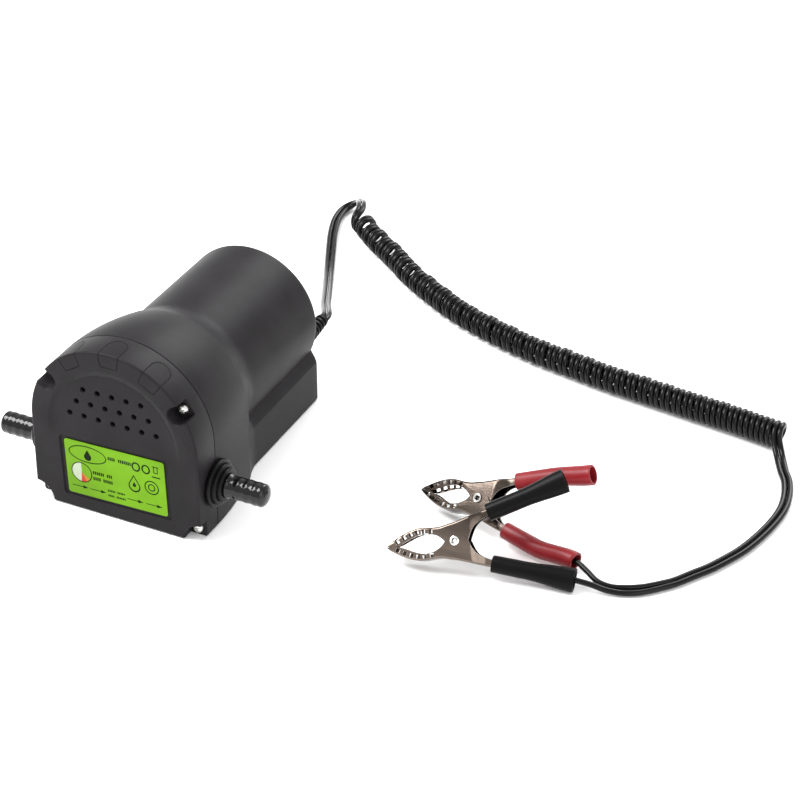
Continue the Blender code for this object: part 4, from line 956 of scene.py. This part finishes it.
def rounded_box(half_x: float, half_y: float, radius: float, steps: int) -> list[tuple[float, float]]:
    """The outline of a rectangle with rounded corners, about its middle."""
    points = []
    for sign_x, sign_y, start in ((1, 1, 0), (-1, 1, 90), (-1, -1, 180), (1, -1, 270)):
        points += arc(
            radius, start, start + 90, steps, (sign_x * (half_x - radius), sign_y * (half_y - radius))
        )
    return points


@dataclass
class Label:
    """The printed label: a thin green plate with a drop emblem, a dial, plain bars and flow arrows."""

    half_x: float = 31.45
    half_y: float = 17.4
    back: float = 0.7
    thickness: float = 0.4
    ink: float = 0.04

    def __post_init__(self) -> None:
        """Works out where the label lies."""
        self.place = BODY @ Matrix.Translation((0, self.back, LABEL_Z)) @ LABEL_LEAN @ TO_FACE

    def build(self) -> None:
        """Makes the plate and the ink on it."""
        Form().slab(rounded_box(self.half_x, self.half_y, 1.6, 6), 0, self.thickness).piece(
            "green_label", LABEL_GREEN, self.place, replaces=["label"])
        self._ink(
            "label_emblem", PRINT_DARK,
            [self._ring((-17.1, 10.1), 12.0, 5.4, 0.6), self._drop((-17.1, 9.6), 3.2)],
        )
        self._ink("label_text_bars", PRINT_DARK, self._bars())
        self._ink("label_icons", PRINT_DARK, self._icons())
        self._ink(
            "label_arrows", PRINT_DARK,
            [shape for u in (-28.8, -17.4, 6.2, 18.2) for shape in self._arrow(u, -12.2)],
        )
        centre, radius = (-21.9, -2.5), 6.1
        self._ink("dial_rim", PRINT_DARK, [self._ring(centre, radius + 0.45, radius + 0.45, 0.55)])
        self._ink("dial_white", PRINT_WHITE, [self._wedge(centre, radius, 90, 264)])
        self._ink("dial_red", PRINT_RED, [self._wedge(centre, radius, 264, 296)])
        self._ink("dial_orange", PRINT_ORANGE, [self._wedge(centre, radius, 296, 322)])

    def _ink(self, name: str, finish: Finish, outlines: Sequence[Sequence[Point]]) -> None:
        """One colour of ink, as thin flat shapes just proud of the plate."""
        form = Form()
        for outline in outlines:
            form.slab(outline, self.thickness - 0.02, self.thickness + self.ink)
        form.piece(name, finish, self.place)

    @staticmethod
    def _ring(centre: Point, half_x: float, half_y: float, width: float) -> list[Point]:
        """A thin oval line, as one outline that goes round outside and back inside."""
        steps = 56
        angles = [TAU * i / steps for i in range(steps)]
        outer = [(centre[0] + half_x * math.cos(a), centre[1] + half_y * math.sin(a)) for a in angles]
        inner = [
            (centre[0] + (half_x - width) * math.cos(a), centre[1] + (half_y - width) * math.sin(a))
            for a in angles
        ]
        slit = 0.004
        outer.append((outer[0][0], outer[0][1] - slit))
        inner.append((inner[0][0], inner[0][1] - slit))
        return outer + inner[::-1]

    @staticmethod
    def _drop(centre: Point, size: float) -> list[Point]:
        """A drop of fluid with its point up."""
        round_part = arc(size * 0.72, 152, 388, 24, (centre[0], centre[1] - size * 0.35))
        return [*round_part, (centre[0], centre[1] + size * 1.1)]

    @staticmethod
    def _wedge(centre: Point, radius: float, start: float, end: float) -> list[Point]:
        """A slice of the dial."""
        return [tuple(centre), *arc(radius, start, end, max(4, int((end - start) / 8)), centre)]

    @staticmethod
    def _bar(left: float, right: float, v: float, height: float) -> list[Point]:
        """A plain rectangle."""
        return [
            (left, v - height / 2), (right, v - height / 2), (right, v + height / 2), (left, v + height / 2)
        ]

    def _bars(self) -> list[list[Point]]:
        """Lays out rows of short plain bars where words would stand.

        Returns:
            Each bar's outline.
        """
        rows = (
            (11.2, 2.1, 1.2, ((-4.2, 4), (2.4, 7))),
            (-0.8, 2.0, 1.25, ((-14.8, 6), (-5.9, 3))),
            (-4.6, 2.0, 1.25, ((-14.8, 4), (-8.4, 5))),
            (-10.2, 1.3, 1.0, ((-6.0, 5), (0.0, 5))),
            (-13.4, 1.3, 1.0, ((-6.0, 4), (-0.8, 6))),
        )
        shapes = []
        for v, height, pitch, words in rows:
            for left, letters in words:
                for i in range(letters):
                    grow = 0.12 * math.sin(i * 2.1 + v)
                    ends = (left + i * pitch + 0.1, left + (i + 0.76) * pitch)
                    shapes.append(self._bar(*ends, v, height + grow))
        return shapes

    def _icons(self) -> list[list[Point]]:
        """Draws the generic marks: two rings, a box over a bar, a large drop outline and a wheel.

        Returns:
            Each shape's outline.
        """
        shapes = [self._ring((13.6, 10.4), 2.7, 3.0, 0.9), self._ring((19.8, 10.4), 2.7, 3.0, 0.9)]
        shapes += [
            self._bar(23.9, 28.0, 13.4, 0.5), self._bar(24.6, 25.1, 11.4, 3.4),
            self._bar(26.8, 27.3, 11.4, 3.4),
        ]
        shapes += [self._bar(24.6, 27.3, 9.5, 0.5), self._bar(23.4, 28.6, 6.7, 0.75)]
        shapes.append(self._ring((22.6, -0.8), 4.5, 4.5, 0.65))
        shapes.append(self._ring((22.6, -0.8), 2.3, 2.3, 0.6))
        outer, inner = self._drop((11.6, -1.0), 5.2), self._drop((11.6, -1.1), 4.25)
        slit = 0.004
        outer.append((outer[0][0] + slit, outer[0][1] + slit))
        inner.append((inner[0][0] + slit, inner[0][1] + slit))
        shapes.append(outer + inner[::-1])
        shapes.append(self._drop((11.6, -1.6), 1.5))
        return shapes

    def _arrow(self, u: float, v: float) -> list[list[Point]]:
        """A flow arrow: a thin shaft and a solid head."""
        return [self._bar(u, u + 7.6, v, 0.42), [(u + 6.9, v - 1.05), (u + 10.2, v), (u + 6.9, v + 1.05)]]


@dataclass
class Port:
    """A side port: a stepped grommet, a barbed fitting and a glossy cap pushed over it."""

    side: str
    role: str
    sign: int
    wall_x: float = 52.0
    bore: float = 4.5

    def build(self) -> None:
        """Makes the three pieces about the port's axis."""
        turn = TO_X if self.sign > 0 else TO_MINUS_X
        place = BODY @ Matrix.Translation((0, PORT_Y, PORT_Z)) @ turn
        Form().turned(self._grommet(), 72, closed=True).piece(
            f"stepped_grommet_{self.side}", BLACK_RUBBER, place, replaces=[f"{self.side}_port_grommet"],
            sharp_deg=38,
        )
        Form().turned(self._barb(), 56, closed=True).piece(
            f"barbed_{self.role}", CAST_ALUMINIUM, place, replaces=[f"{self.role}_barb"], sharp_deg=25)
        Form().turned(self._cap(), 64).piece(
            f"glossy_cap_{self.side}", GLOSS_BLACK, place, f"{self.role}_cap", [f"{self.side}_port_cap"], 38)

    def _grommet(self) -> list[Point]:
        """The grommet's section, its three steps rounded."""
        edge = self.wall_x + 0.3
        profile = [(self.bore, 59.6), (self.bore + 0.4, 59.95)]
        top = 59.7
        for radius, width in ((9.6, 2.3), (11.6, 2.4), (13.6, 2.7)):
            low = top - width
            profile += [(radius - 2.1, top + 0.12), (radius - 1.25, top + 0.25)]
            profile += arc(0.95, 80, 0, 6, (radius - 0.95, top - 0.75))
            profile += [(radius, low + 0.6), (radius - 0.15, low + 0.35)]
            top = low
        profile += [
            (13.3, edge + 0.02), (10.0, edge), (10.0, edge - 3.4), (12.5, edge - 3.4), (12.5, edge - 6.0)
        ]
        return [*profile, (self.bore, edge - 6.0)]

    def _barb(self) -> list[Point]:
        """The fitting's section: shank, collar, tube and three barbs."""
        profile = [(2.6, 79.1), (3.7, 79.1), (4.2, 78.6)]
        for i in range(3):
            top = 78.4 - 5.2 * i
            profile += [(4.3, top), (5.2, top - 4.0), (5.15, top - 4.3), (4.25, top - 4.6)]
        profile += [
            (4.2, 60.0), (4.2, 29.3), (6.6, 29.3), (7.0, 28.9), (7.0, 24.7), (6.6, 24.3), (4.7, 24.3),
            (4.7, 14.3),
        ]
        return [*profile, (2.6, 14.3)]

    def _cap(self) -> list[Point]:
        """The cap's half section.

        Returns:
            Its outside, from the soft end over the lumps of the barbs to its mouth, then its bore.
        """
        top = 84.3
        profile = [(0.0, top)] + [
            (6.55 * math.sin(a), top - 3.4 * (1 - math.cos(a)))
            for a in (0.3, 0.6, 0.85, 1.1, 1.3, 1.45)
        ]
        for i in range(3):
            centre = 77.6 - 5.2 * i
            for step in range(9):
                wave = math.cos(math.pi * (step / 4 - 1))
                profile.append((6.48 + 0.12 * wave, centre + 2.3 - step * 0.575))
        profile += [
            (6.4, 62.6), (6.55, 62.0), (6.95, 61.5), (7.15, 61.1), (7.2, 60.6), (7.1, 60.15), (6.8, 60.0),
            (5.5, 60.0),
        ]
        return [*profile, (5.5, 79.4), (4.6, 80.6), (0.0, 80.9)]


@dataclass
class RearFittings:
    """What sits in the rear wall: the rocker switch and the cord's strain relief."""

    wall_y: float = REAR_Y
    switch_z: float = 62.0
    rocker_lean_deg: float = 11.0

    def build(self) -> None:
        """Makes the switch's frame, its rocker and the strain relief."""
        home = BODY @ Matrix.Translation((0, self.wall_y + 0.3, self.switch_z))
        frame_piece = Form().block((-11, 0, -8), (11, 2.0, 8)).rounded(0.7, 4).piece(
            "switch_frame", SWITCH_BLACK, home, replaces=["switch_body"])
        box_piece = Form().block((-8.9, -15, -6.2), (8.9, 0.8, 6.2)).rounded(0.3, 2).cutter(home)
        carve(frame_piece, [box_piece], "UNION")
        carve(frame_piece, [Form().block((-7.7, -6, -5.0), (7.7, 4, 5.0)).cutter(home)])
        outline = [
            (-7.4, 1.4), (-4.0, 0.72), (0.0, 0.3), (4.0, 0.72), (7.4, 1.4), (5.2, -2.2), (0, -3.6),
            (-5.2, -2.2),
        ]
        lean = Matrix.Rotation(math.radians(self.rocker_lean_deg), 4, "Z")
        pivot = BODY @ Matrix.Translation((0, self.wall_y + 0.2, self.switch_z)) @ lean
        Form().slab(outline, -4.65, 4.65).rounded(0.3, 3).piece(
            "rocker_button", SWITCH_BLACK, pivot, "rocker", ["switch_rocker"])
        place = BODY @ Matrix.Translation((RELIEF_X, self.wall_y, RELIEF_Z)) @ TO_REAR
        Form().turned(self._relief(), 56, closed=True).piece(
            "ribbed_strain_relief", BLACK_RUBBER, place, replaces=["strain_relief"], sharp_deg=38)

    @staticmethod
    def _relief() -> list[Point]:
        """The strain relief's section: a tapered boot with rounded ribs, a collar and a neck."""
        profile = [(1.2, 26.0), (3.3, 26.0), (3.7, 25.6)]
        for i in range(6):
            top = 24.4 - i * 3.65
            radius = 4.0 + 0.32 * i
            profile += [
                (radius - 0.6, top + 0.35), (radius - 0.1, top + 0.1), (radius, top - 0.4),
                (radius, top - 1.2),
            ]
            profile += [(radius - 0.15, top - 1.6), (radius - 1.0, top - 1.85), (radius - 1.0, top - 2.7)]
        profile += [
            (5.2, 2.9), (6.4, 2.5), (6.8, 1.9), (6.8, 0.4), (4.0, 0.35), (4.0, -2.9), (5.4, -2.9), (5.4, -5.6)
        ]
        return [*profile, (1.2, -5.6)]


@dataclass
class BatteryClip:
    """A battery clip: two folded steel halves on a hollow rivet, with a spring and two vinyl sleeves."""

    colour: str
    pivot: Point
    turn: Point
    sleeves: dict[Half, Sequence[tuple[float, ...]]]
    sheet: float = 0.95
    rivet_radius: float = 1.9
    first_notch_x: float = -32.4
    notch_pitch: float = 3.9
    notch_half: float = 1.15
    notch_span: Point = (0.85, 3.1)
    handle_slope_deg: float = 16.5
    handle_start: Point = (18.2, 13.7)
    sleeve_length: float = 45.0

    def __post_init__(self) -> None:
        """Works out the clip's frame: x to the handles, y up and z along the rivet."""
        azimuth, rise, roll = (math.radians(a) for a in self.turn)
        z = Vector((math.sin(azimuth) * math.cos(rise), -math.cos(azimuth) * math.cos(rise), math.sin(rise)))
        level = Vector((math.cos(azimuth), math.sin(azimuth), 0))
        x = math.cos(roll) * level + math.sin(roll) * z.cross(level)
        turn = Matrix((x, z.cross(x), z)).transposed().to_4x4()
        self.place = BODY @ Matrix.Translation(self.pivot) @ turn

    def build(self) -> list[bpy.types.Object]:
        """Makes the clip.

        Returns:
            Its pieces, placed at the wire's end.
        """
        finish = SLEEVE_RED if self.colour == "red" else SLEEVE_BLACK
        pieces = []
        for half in Half:
            word = half.name.lower()
            body = "pump" if half is Half.LOWER else f"{self.colour}_clip_upper"
            pieces.append(self._jaw(half, body))
            pieces.append(Form().loft(self._sleeve(half), capped=False).piece(
                f"{self.colour}_{word}_sleeve", finish, self.place, body,
                [f"{self.colour}_clip_{word}_sleeve"], 50,
            ))
            pieces.append(self._spring(half, body))
        pieces.append(self._rivet())
        return pieces

    def _jaw(self, half: Half, body: str) -> bpy.types.Object:
        """Makes one folded half: a channel with an ear, a rivet hole and notched teeth.

        Args:
            half: Which half it is.
            body: The body that it rides on.

        Returns:
            The piece.
        """
        word = half.name.lower()
        width = 13.6 if half is Half.LOWER else 11.0
        sides = (
            (-37.0, 0.6, -37.3, 0.1), (-35.6, 2.0, -35.3, 0.15), (-32.0, 4.3, -31.0, 0.25),
            (-27.3, 6.6, -25.3, 2.7), (-22.8, 8.1, -20.4, 4.6), (-18.3, 8.8, -15.7, 5.35),
            (-12.7, 8.4, -11.2, 4.5), (-8.6, 8.4, -7.6, 2.4), (-6.2, 8.8, -5.6, 0.2),
            (-3.4, 9.5, -4.0, -2.2), (0.0, 10.2, -1.4, -4.1), (3.0, 11.1, 1.6, -4.2),
            (5.6, 11.9, 4.6, -2.9), (7.4, 12.5, 6.9, -0.4), (8.8, 12.9, 8.4, 3.3),
            (10.6, 13.5, 10.2, 6.6), (13.0, 14.2, 12.8, 9.0), (16.4, 15.3, 16.4, 10.9),
            (22.0, 17.0, 22.0, 12.9), (38.0, 21.8, 38.0, 18.0),
        )
        pairs = self._matched([row[:2] for row in sides], [row[2:] for row in sides])
        rings = [self._channel(top, foot, self._width(top.x, width)) for top, foot in pairs]
        rings = [[(p[0], p[1] * half.value, p[2]) for p in ring] for ring in rings]
        # The jaw's nickel finish carries painted reflection: a dark brown colour with broad dark and bright
        # patches.
        jaw = Form().loft(rings).piece(
            f"{self.colour}_{word}_jaw", NICKEL_WITH_PAINTED_REFLECTION, self.place, body, [f"{self.colour}_clip_{word}_jaw"], 32)
        tools = [Form().bar(self.rivet_radius + 0.25, -10, 10, 40).cutter(self.place)]
        for i in range(6):
            x = self.first_notch_x + i * self.notch_pitch
            y, ahead = (self._edge(sides, at) for at in (x, x + 0.5))
            lean = math.atan2(ahead - y, 0.5) * half.value
            low, high = sorted(-depth * half.value for depth in self.notch_span)
            form = Form().block((-self.notch_half, low, -9), (self.notch_half, high, 9))
            spot = Matrix.Translation((x, y * half.value, 0)) @ Matrix.Rotation(lean, 4, "Z")
            tools.append(form.cutter(self.place @ spot))
        return carve(jaw, tools, sharp_deg=32)

    @staticmethod
    def _edge(sides: Sequence[Point], x: float) -> float:
        """The height of the outer edge at x."""
        for row, following in zip(sides, sides[1:]):
            if x <= following[0]:
                return row[1] + (following[1] - row[1]) * (x - row[0]) / (following[0] - row[0])
        return sides[-1][1]

    @staticmethod
    def _matched(outer: Sequence[Point], inner: Sequence[Point]) -> list[tuple[Vector, Vector]]:
        """Pairs the points of two edges in step with each other.

        Args:
            outer: The outer edge's points.
            inner: The inner edge's points, one for each of the outer edge's.

        Returns:
            Pairs of points on the smooth curves through both edges.
        """
        both = [(a[0], a[1], 0) for a in outer], [(b[0], b[1], 0) for b in inner]
        pairs = []
        for i in range(len(outer) - 1):
            steps = max(2, math.ceil(math.dist(outer[i], outer[i + 1]) / 1.1))
            for k in range(steps):
                pairs.append((i, k / steps))
        pairs.append((len(outer) - 2, 1.0))
        made = []
        for i, t in pairs:
            spots = []
            for edge in both:
                places = (max(i - 1, 0), i, i + 1, min(i + 2, len(edge) - 1))
                spots.append(between(*[Vector(edge[place]) for place in places], t))
            made.append((spots[0], spots[1]))
        return made

    @staticmethod
    def _width(x: float, full: float) -> float:
        """The channel's width at x: full at the rivet, narrower at the nose and at the handle."""
        to_handle = eased(min(1.0, max(0.0, (x - 7.5) / 8.5)))
        to_nose = min(1.0, max(0.0, (-10 - x) / 27))
        return full + (6.4 - full) * to_handle - 0.25 * full * to_nose**1.3

    def _channel(self, top: Vector, foot: Vector, width: float) -> list[Vector]:
        """A U-shaped section with its two folds rounded.

        Args:
            top: The point on the outer edge, where the channel is closed.
            foot: The point on the inner edge, where the channel is open.
            width: The channel's width.

        Returns:
            The section's points, round its outside and back inside.
        """
        down = foot - top
        deep = down.length
        down = down / deep
        fold = min(1.5, deep * 0.45)
        sheet = min(self.sheet, deep * 0.6)
        half = width / 2
        corner = [
            (fold * (1 - math.sin(a)), half - fold * (1 - math.cos(a)))
            for a in (0, 0.4, 0.8, 1.2, math.pi / 2)
        ]
        outside = [(deep, half), ((deep + fold) / 2, half), *corner, *[(u, -w) for u, w in reversed(corner)],
                   ((deep + fold) / 2, -half), (deep, -half)]
        inner_fold = max(0.15, min(fold - sheet, deep - sheet - 0.05) * 0.8)
        near = half - sheet
        bend = [
            (sheet + inner_fold * (1 - math.sin(a)), near - inner_fold * (1 - math.cos(a)))
            for a in (0, 0.5, 1.05, math.pi / 2)
        ]
        inside = [(deep, near), *bend, *[(u, -w) for u, w in reversed(bend)], (deep, -near)]
        return [top + down * u + Vector((0, 0, w)) for u, w in [*outside, *reversed(inside)]]

    def _sleeve(self, half: Half) -> list[list[Point]]:
        """The sleeve's rings, out along its skin and back inside it.

        Args:
            half: Which handle the sleeve is on.

        Returns:
            Rings for a closed skin.
        """
        slope = math.radians(self.handle_slope_deg)
        along = Vector((math.cos(slope), math.sin(slope), 0))
        across = Vector((-along.y, along.x, 0))
        table = self.sleeves[half]

        def ring(share: float, inward: float) -> list[Point]:
            """The sleeve's section at a share of its length, moved in by its wall."""
            high, wide, up, side, power = stepped(table, share)
            centre = Vector((*self.handle_start, 0)) + along * self.sleeve_length * share
            centre += across * up + Vector((0, 0, side))
            points = []
            for i in range(40):
                angle = TAU * i / 40
                tall, broad = (math.copysign(abs(v) ** power, v) for v in (math.cos(angle), math.sin(angle)))
                spot = centre + across * (high - inward) * tall + Vector((0, 0, (wide - inward) * broad))
                points.append((spot.x, spot.y * half.value, spot.z))
            return points

        outside = [ring(i / 24, 0.0) for i in range(1, 24)]
        inside = [ring(i / 24, 1.2) for i in range(24, -1, -2)]
        return [
            ring(0.0, 0.35), ring(0.004, 0.08), *outside, ring(0.996, 0.06), ring(1.0, 0.3), ring(1.0, 0.9),
            *inside,
        ]

    def _spring(self, half: Half, body: str) -> bpy.types.Object:
        """Half of the torsion spring: its coils on one side and the leg that presses on one handle."""
        word = half.name.lower()
        reach, steps = 3.4, 30
        points = [(22.0, 14.9, 1.6), (14.0, 12.1, 1.9), (8.0, 8.9, 2.2), (4.6, 5.6, 2.4)]
        for i in range(steps + 1):
            angle = math.radians(60) + TAU * 1.5 * i / steps
            points.append((reach * math.cos(angle), reach * math.sin(angle), 2.5 - 1.8 * i / steps))
        route = [self.place @ Vector((x, half.value * y, half.value * z)) for x, y, z in points]
        piece = wire(f"{self.colour}_spring_{word}", route, 0.55, 2)
        names = [f"{self.colour}_clip_spring"] if half is Half.LOWER else []
        return dress(piece, SPRING_STEEL, body, names)

    def _rivet(self) -> bpy.types.Object:
        """The hollow rivet with its two rolled heads."""
        reach = 7.1
        head = [
            (1.25, reach + 0.2), (1.5, reach + 0.75), (2.0, reach + 0.95), (2.5, reach + 0.75),
            (2.65, reach + 0.3), (2.5, reach),
        ]
        profile = [*head, (1.9, reach), (1.9, -reach), *[(r, -z) for r, z in reversed(head)]]
        return Form().turned(profile, 48, closed=True).piece(
            f"{self.colour}_hollow_rivet", RIVET_STEEL, self.place, "pump", [f"{self.colour}_clip_rivet"], 40)


SLEEVE_SHAPES = {
    "black": {
        Half.UPPER: (
            (0.0, 4.9, 4.9, 0.0, 0.0, 0.85), (0.45, 5.0, 5.0, 0.0, 0.0, 0.9), (1.0, 6.6, 4.5, 0.2, 0.0, 1.0)
        ),
        Half.LOWER: (
            (0.0, 4.7, 4.9, 0.0, 0.0, 0.85), (0.4, 4.8, 5.0, 0.0, 0.0, 0.9), (1.0, 6.6, 5.0, 0.2, 0.0, 1.0)
        ),
    },
    "red": {
        Half.UPPER: (
            (0.0, 4.9, 4.9, 0.0, 0.0, 0.85), (0.45, 5.1, 5.2, 0.0, 0.0, 0.95), (1.0, 5.7, 5.7, -2.0, 0.4, 1.0)
        ),
        Half.LOWER: (
            (0.0, 4.7, 4.9, 0.0, 0.0, 0.85), (0.45, 5.0, 5.1, 0.0, 0.0, 0.95),
            (1.0, 5.2, 5.2, -4.0, -3.5, 1.0),
        ),
    },
}


class InnerParts:
    """The pump, the motor and the wires inside the body: their shapes stay and each gets its finish."""

    finishes: dict[str, Finish] = {
        "pump_body": CAST_ALUMINIUM, "pump_end_plate": CAST_ALUMINIUM, "pump_gasket": FIBRE,
        "drive_gear": HARD_STEEL, "driven_gear": HARD_STEEL, "idler_pin": HARD_STEEL,
        "motor_shaft": HARD_STEEL,
        "shaft_seal": BLACK_RUBBER, "motor_can": ZINC, "motor_endbell": SWITCH_BLACK, "magnet_left": FERRITE,
        "magnet_right": FERRITE, "armature": COPPER, "commutator": COPPER, "brush_upper": CARBON,
        "brush_lower": CARBON, "front_bushing": BRONZE, "rear_bushing": BRONZE, "pump_screw_1": ZINC,
        "pump_screw_2": ZINC, "pump_screw_3": ZINC, "pump_screw_4": ZINC, "supply_wire": CORD_BLACK,
        "return_wire": CORD_BLACK, "switch_wire": SLEEVE_RED,
    }

    def build(self) -> None:
        """Gives each inner node its finish."""
        for name, finish in self.finishes.items():
            node = bpy.data.objects[name]
            node.data.materials.clear()
            node.data.materials.append(finish.material())
            LOG.info("%s in %s", name, finish.name)


def main() -> None:
    """Builds the scene in order: camera, cord, body, fittings and clips."""
    logging.basicConfig(level=logging.INFO, format="%(message)s")
    Studio().build()
    cord = CurlyCord()
    cord.build()
    Housing().build()
    Label().build()
    Port("left", "inlet", -1).build()
    Port("right", "outlet", 1).build()
    RearFittings().build()
    poses = {
        "black": ((184.3, 44.6, 15.0), (12.0, 38.0, 13.8)),
        "red": ((180.6, 86.1, 13.95), (-14.4, 42.7, 13.5)),
    }
    for colour, (pivot, turn) in poses.items():
        pieces = BatteryClip(colour, pivot, turn, SLEEVE_SHAPES[colour]).build()
    InnerParts().build()


if __name__ == "__main__":
    main()
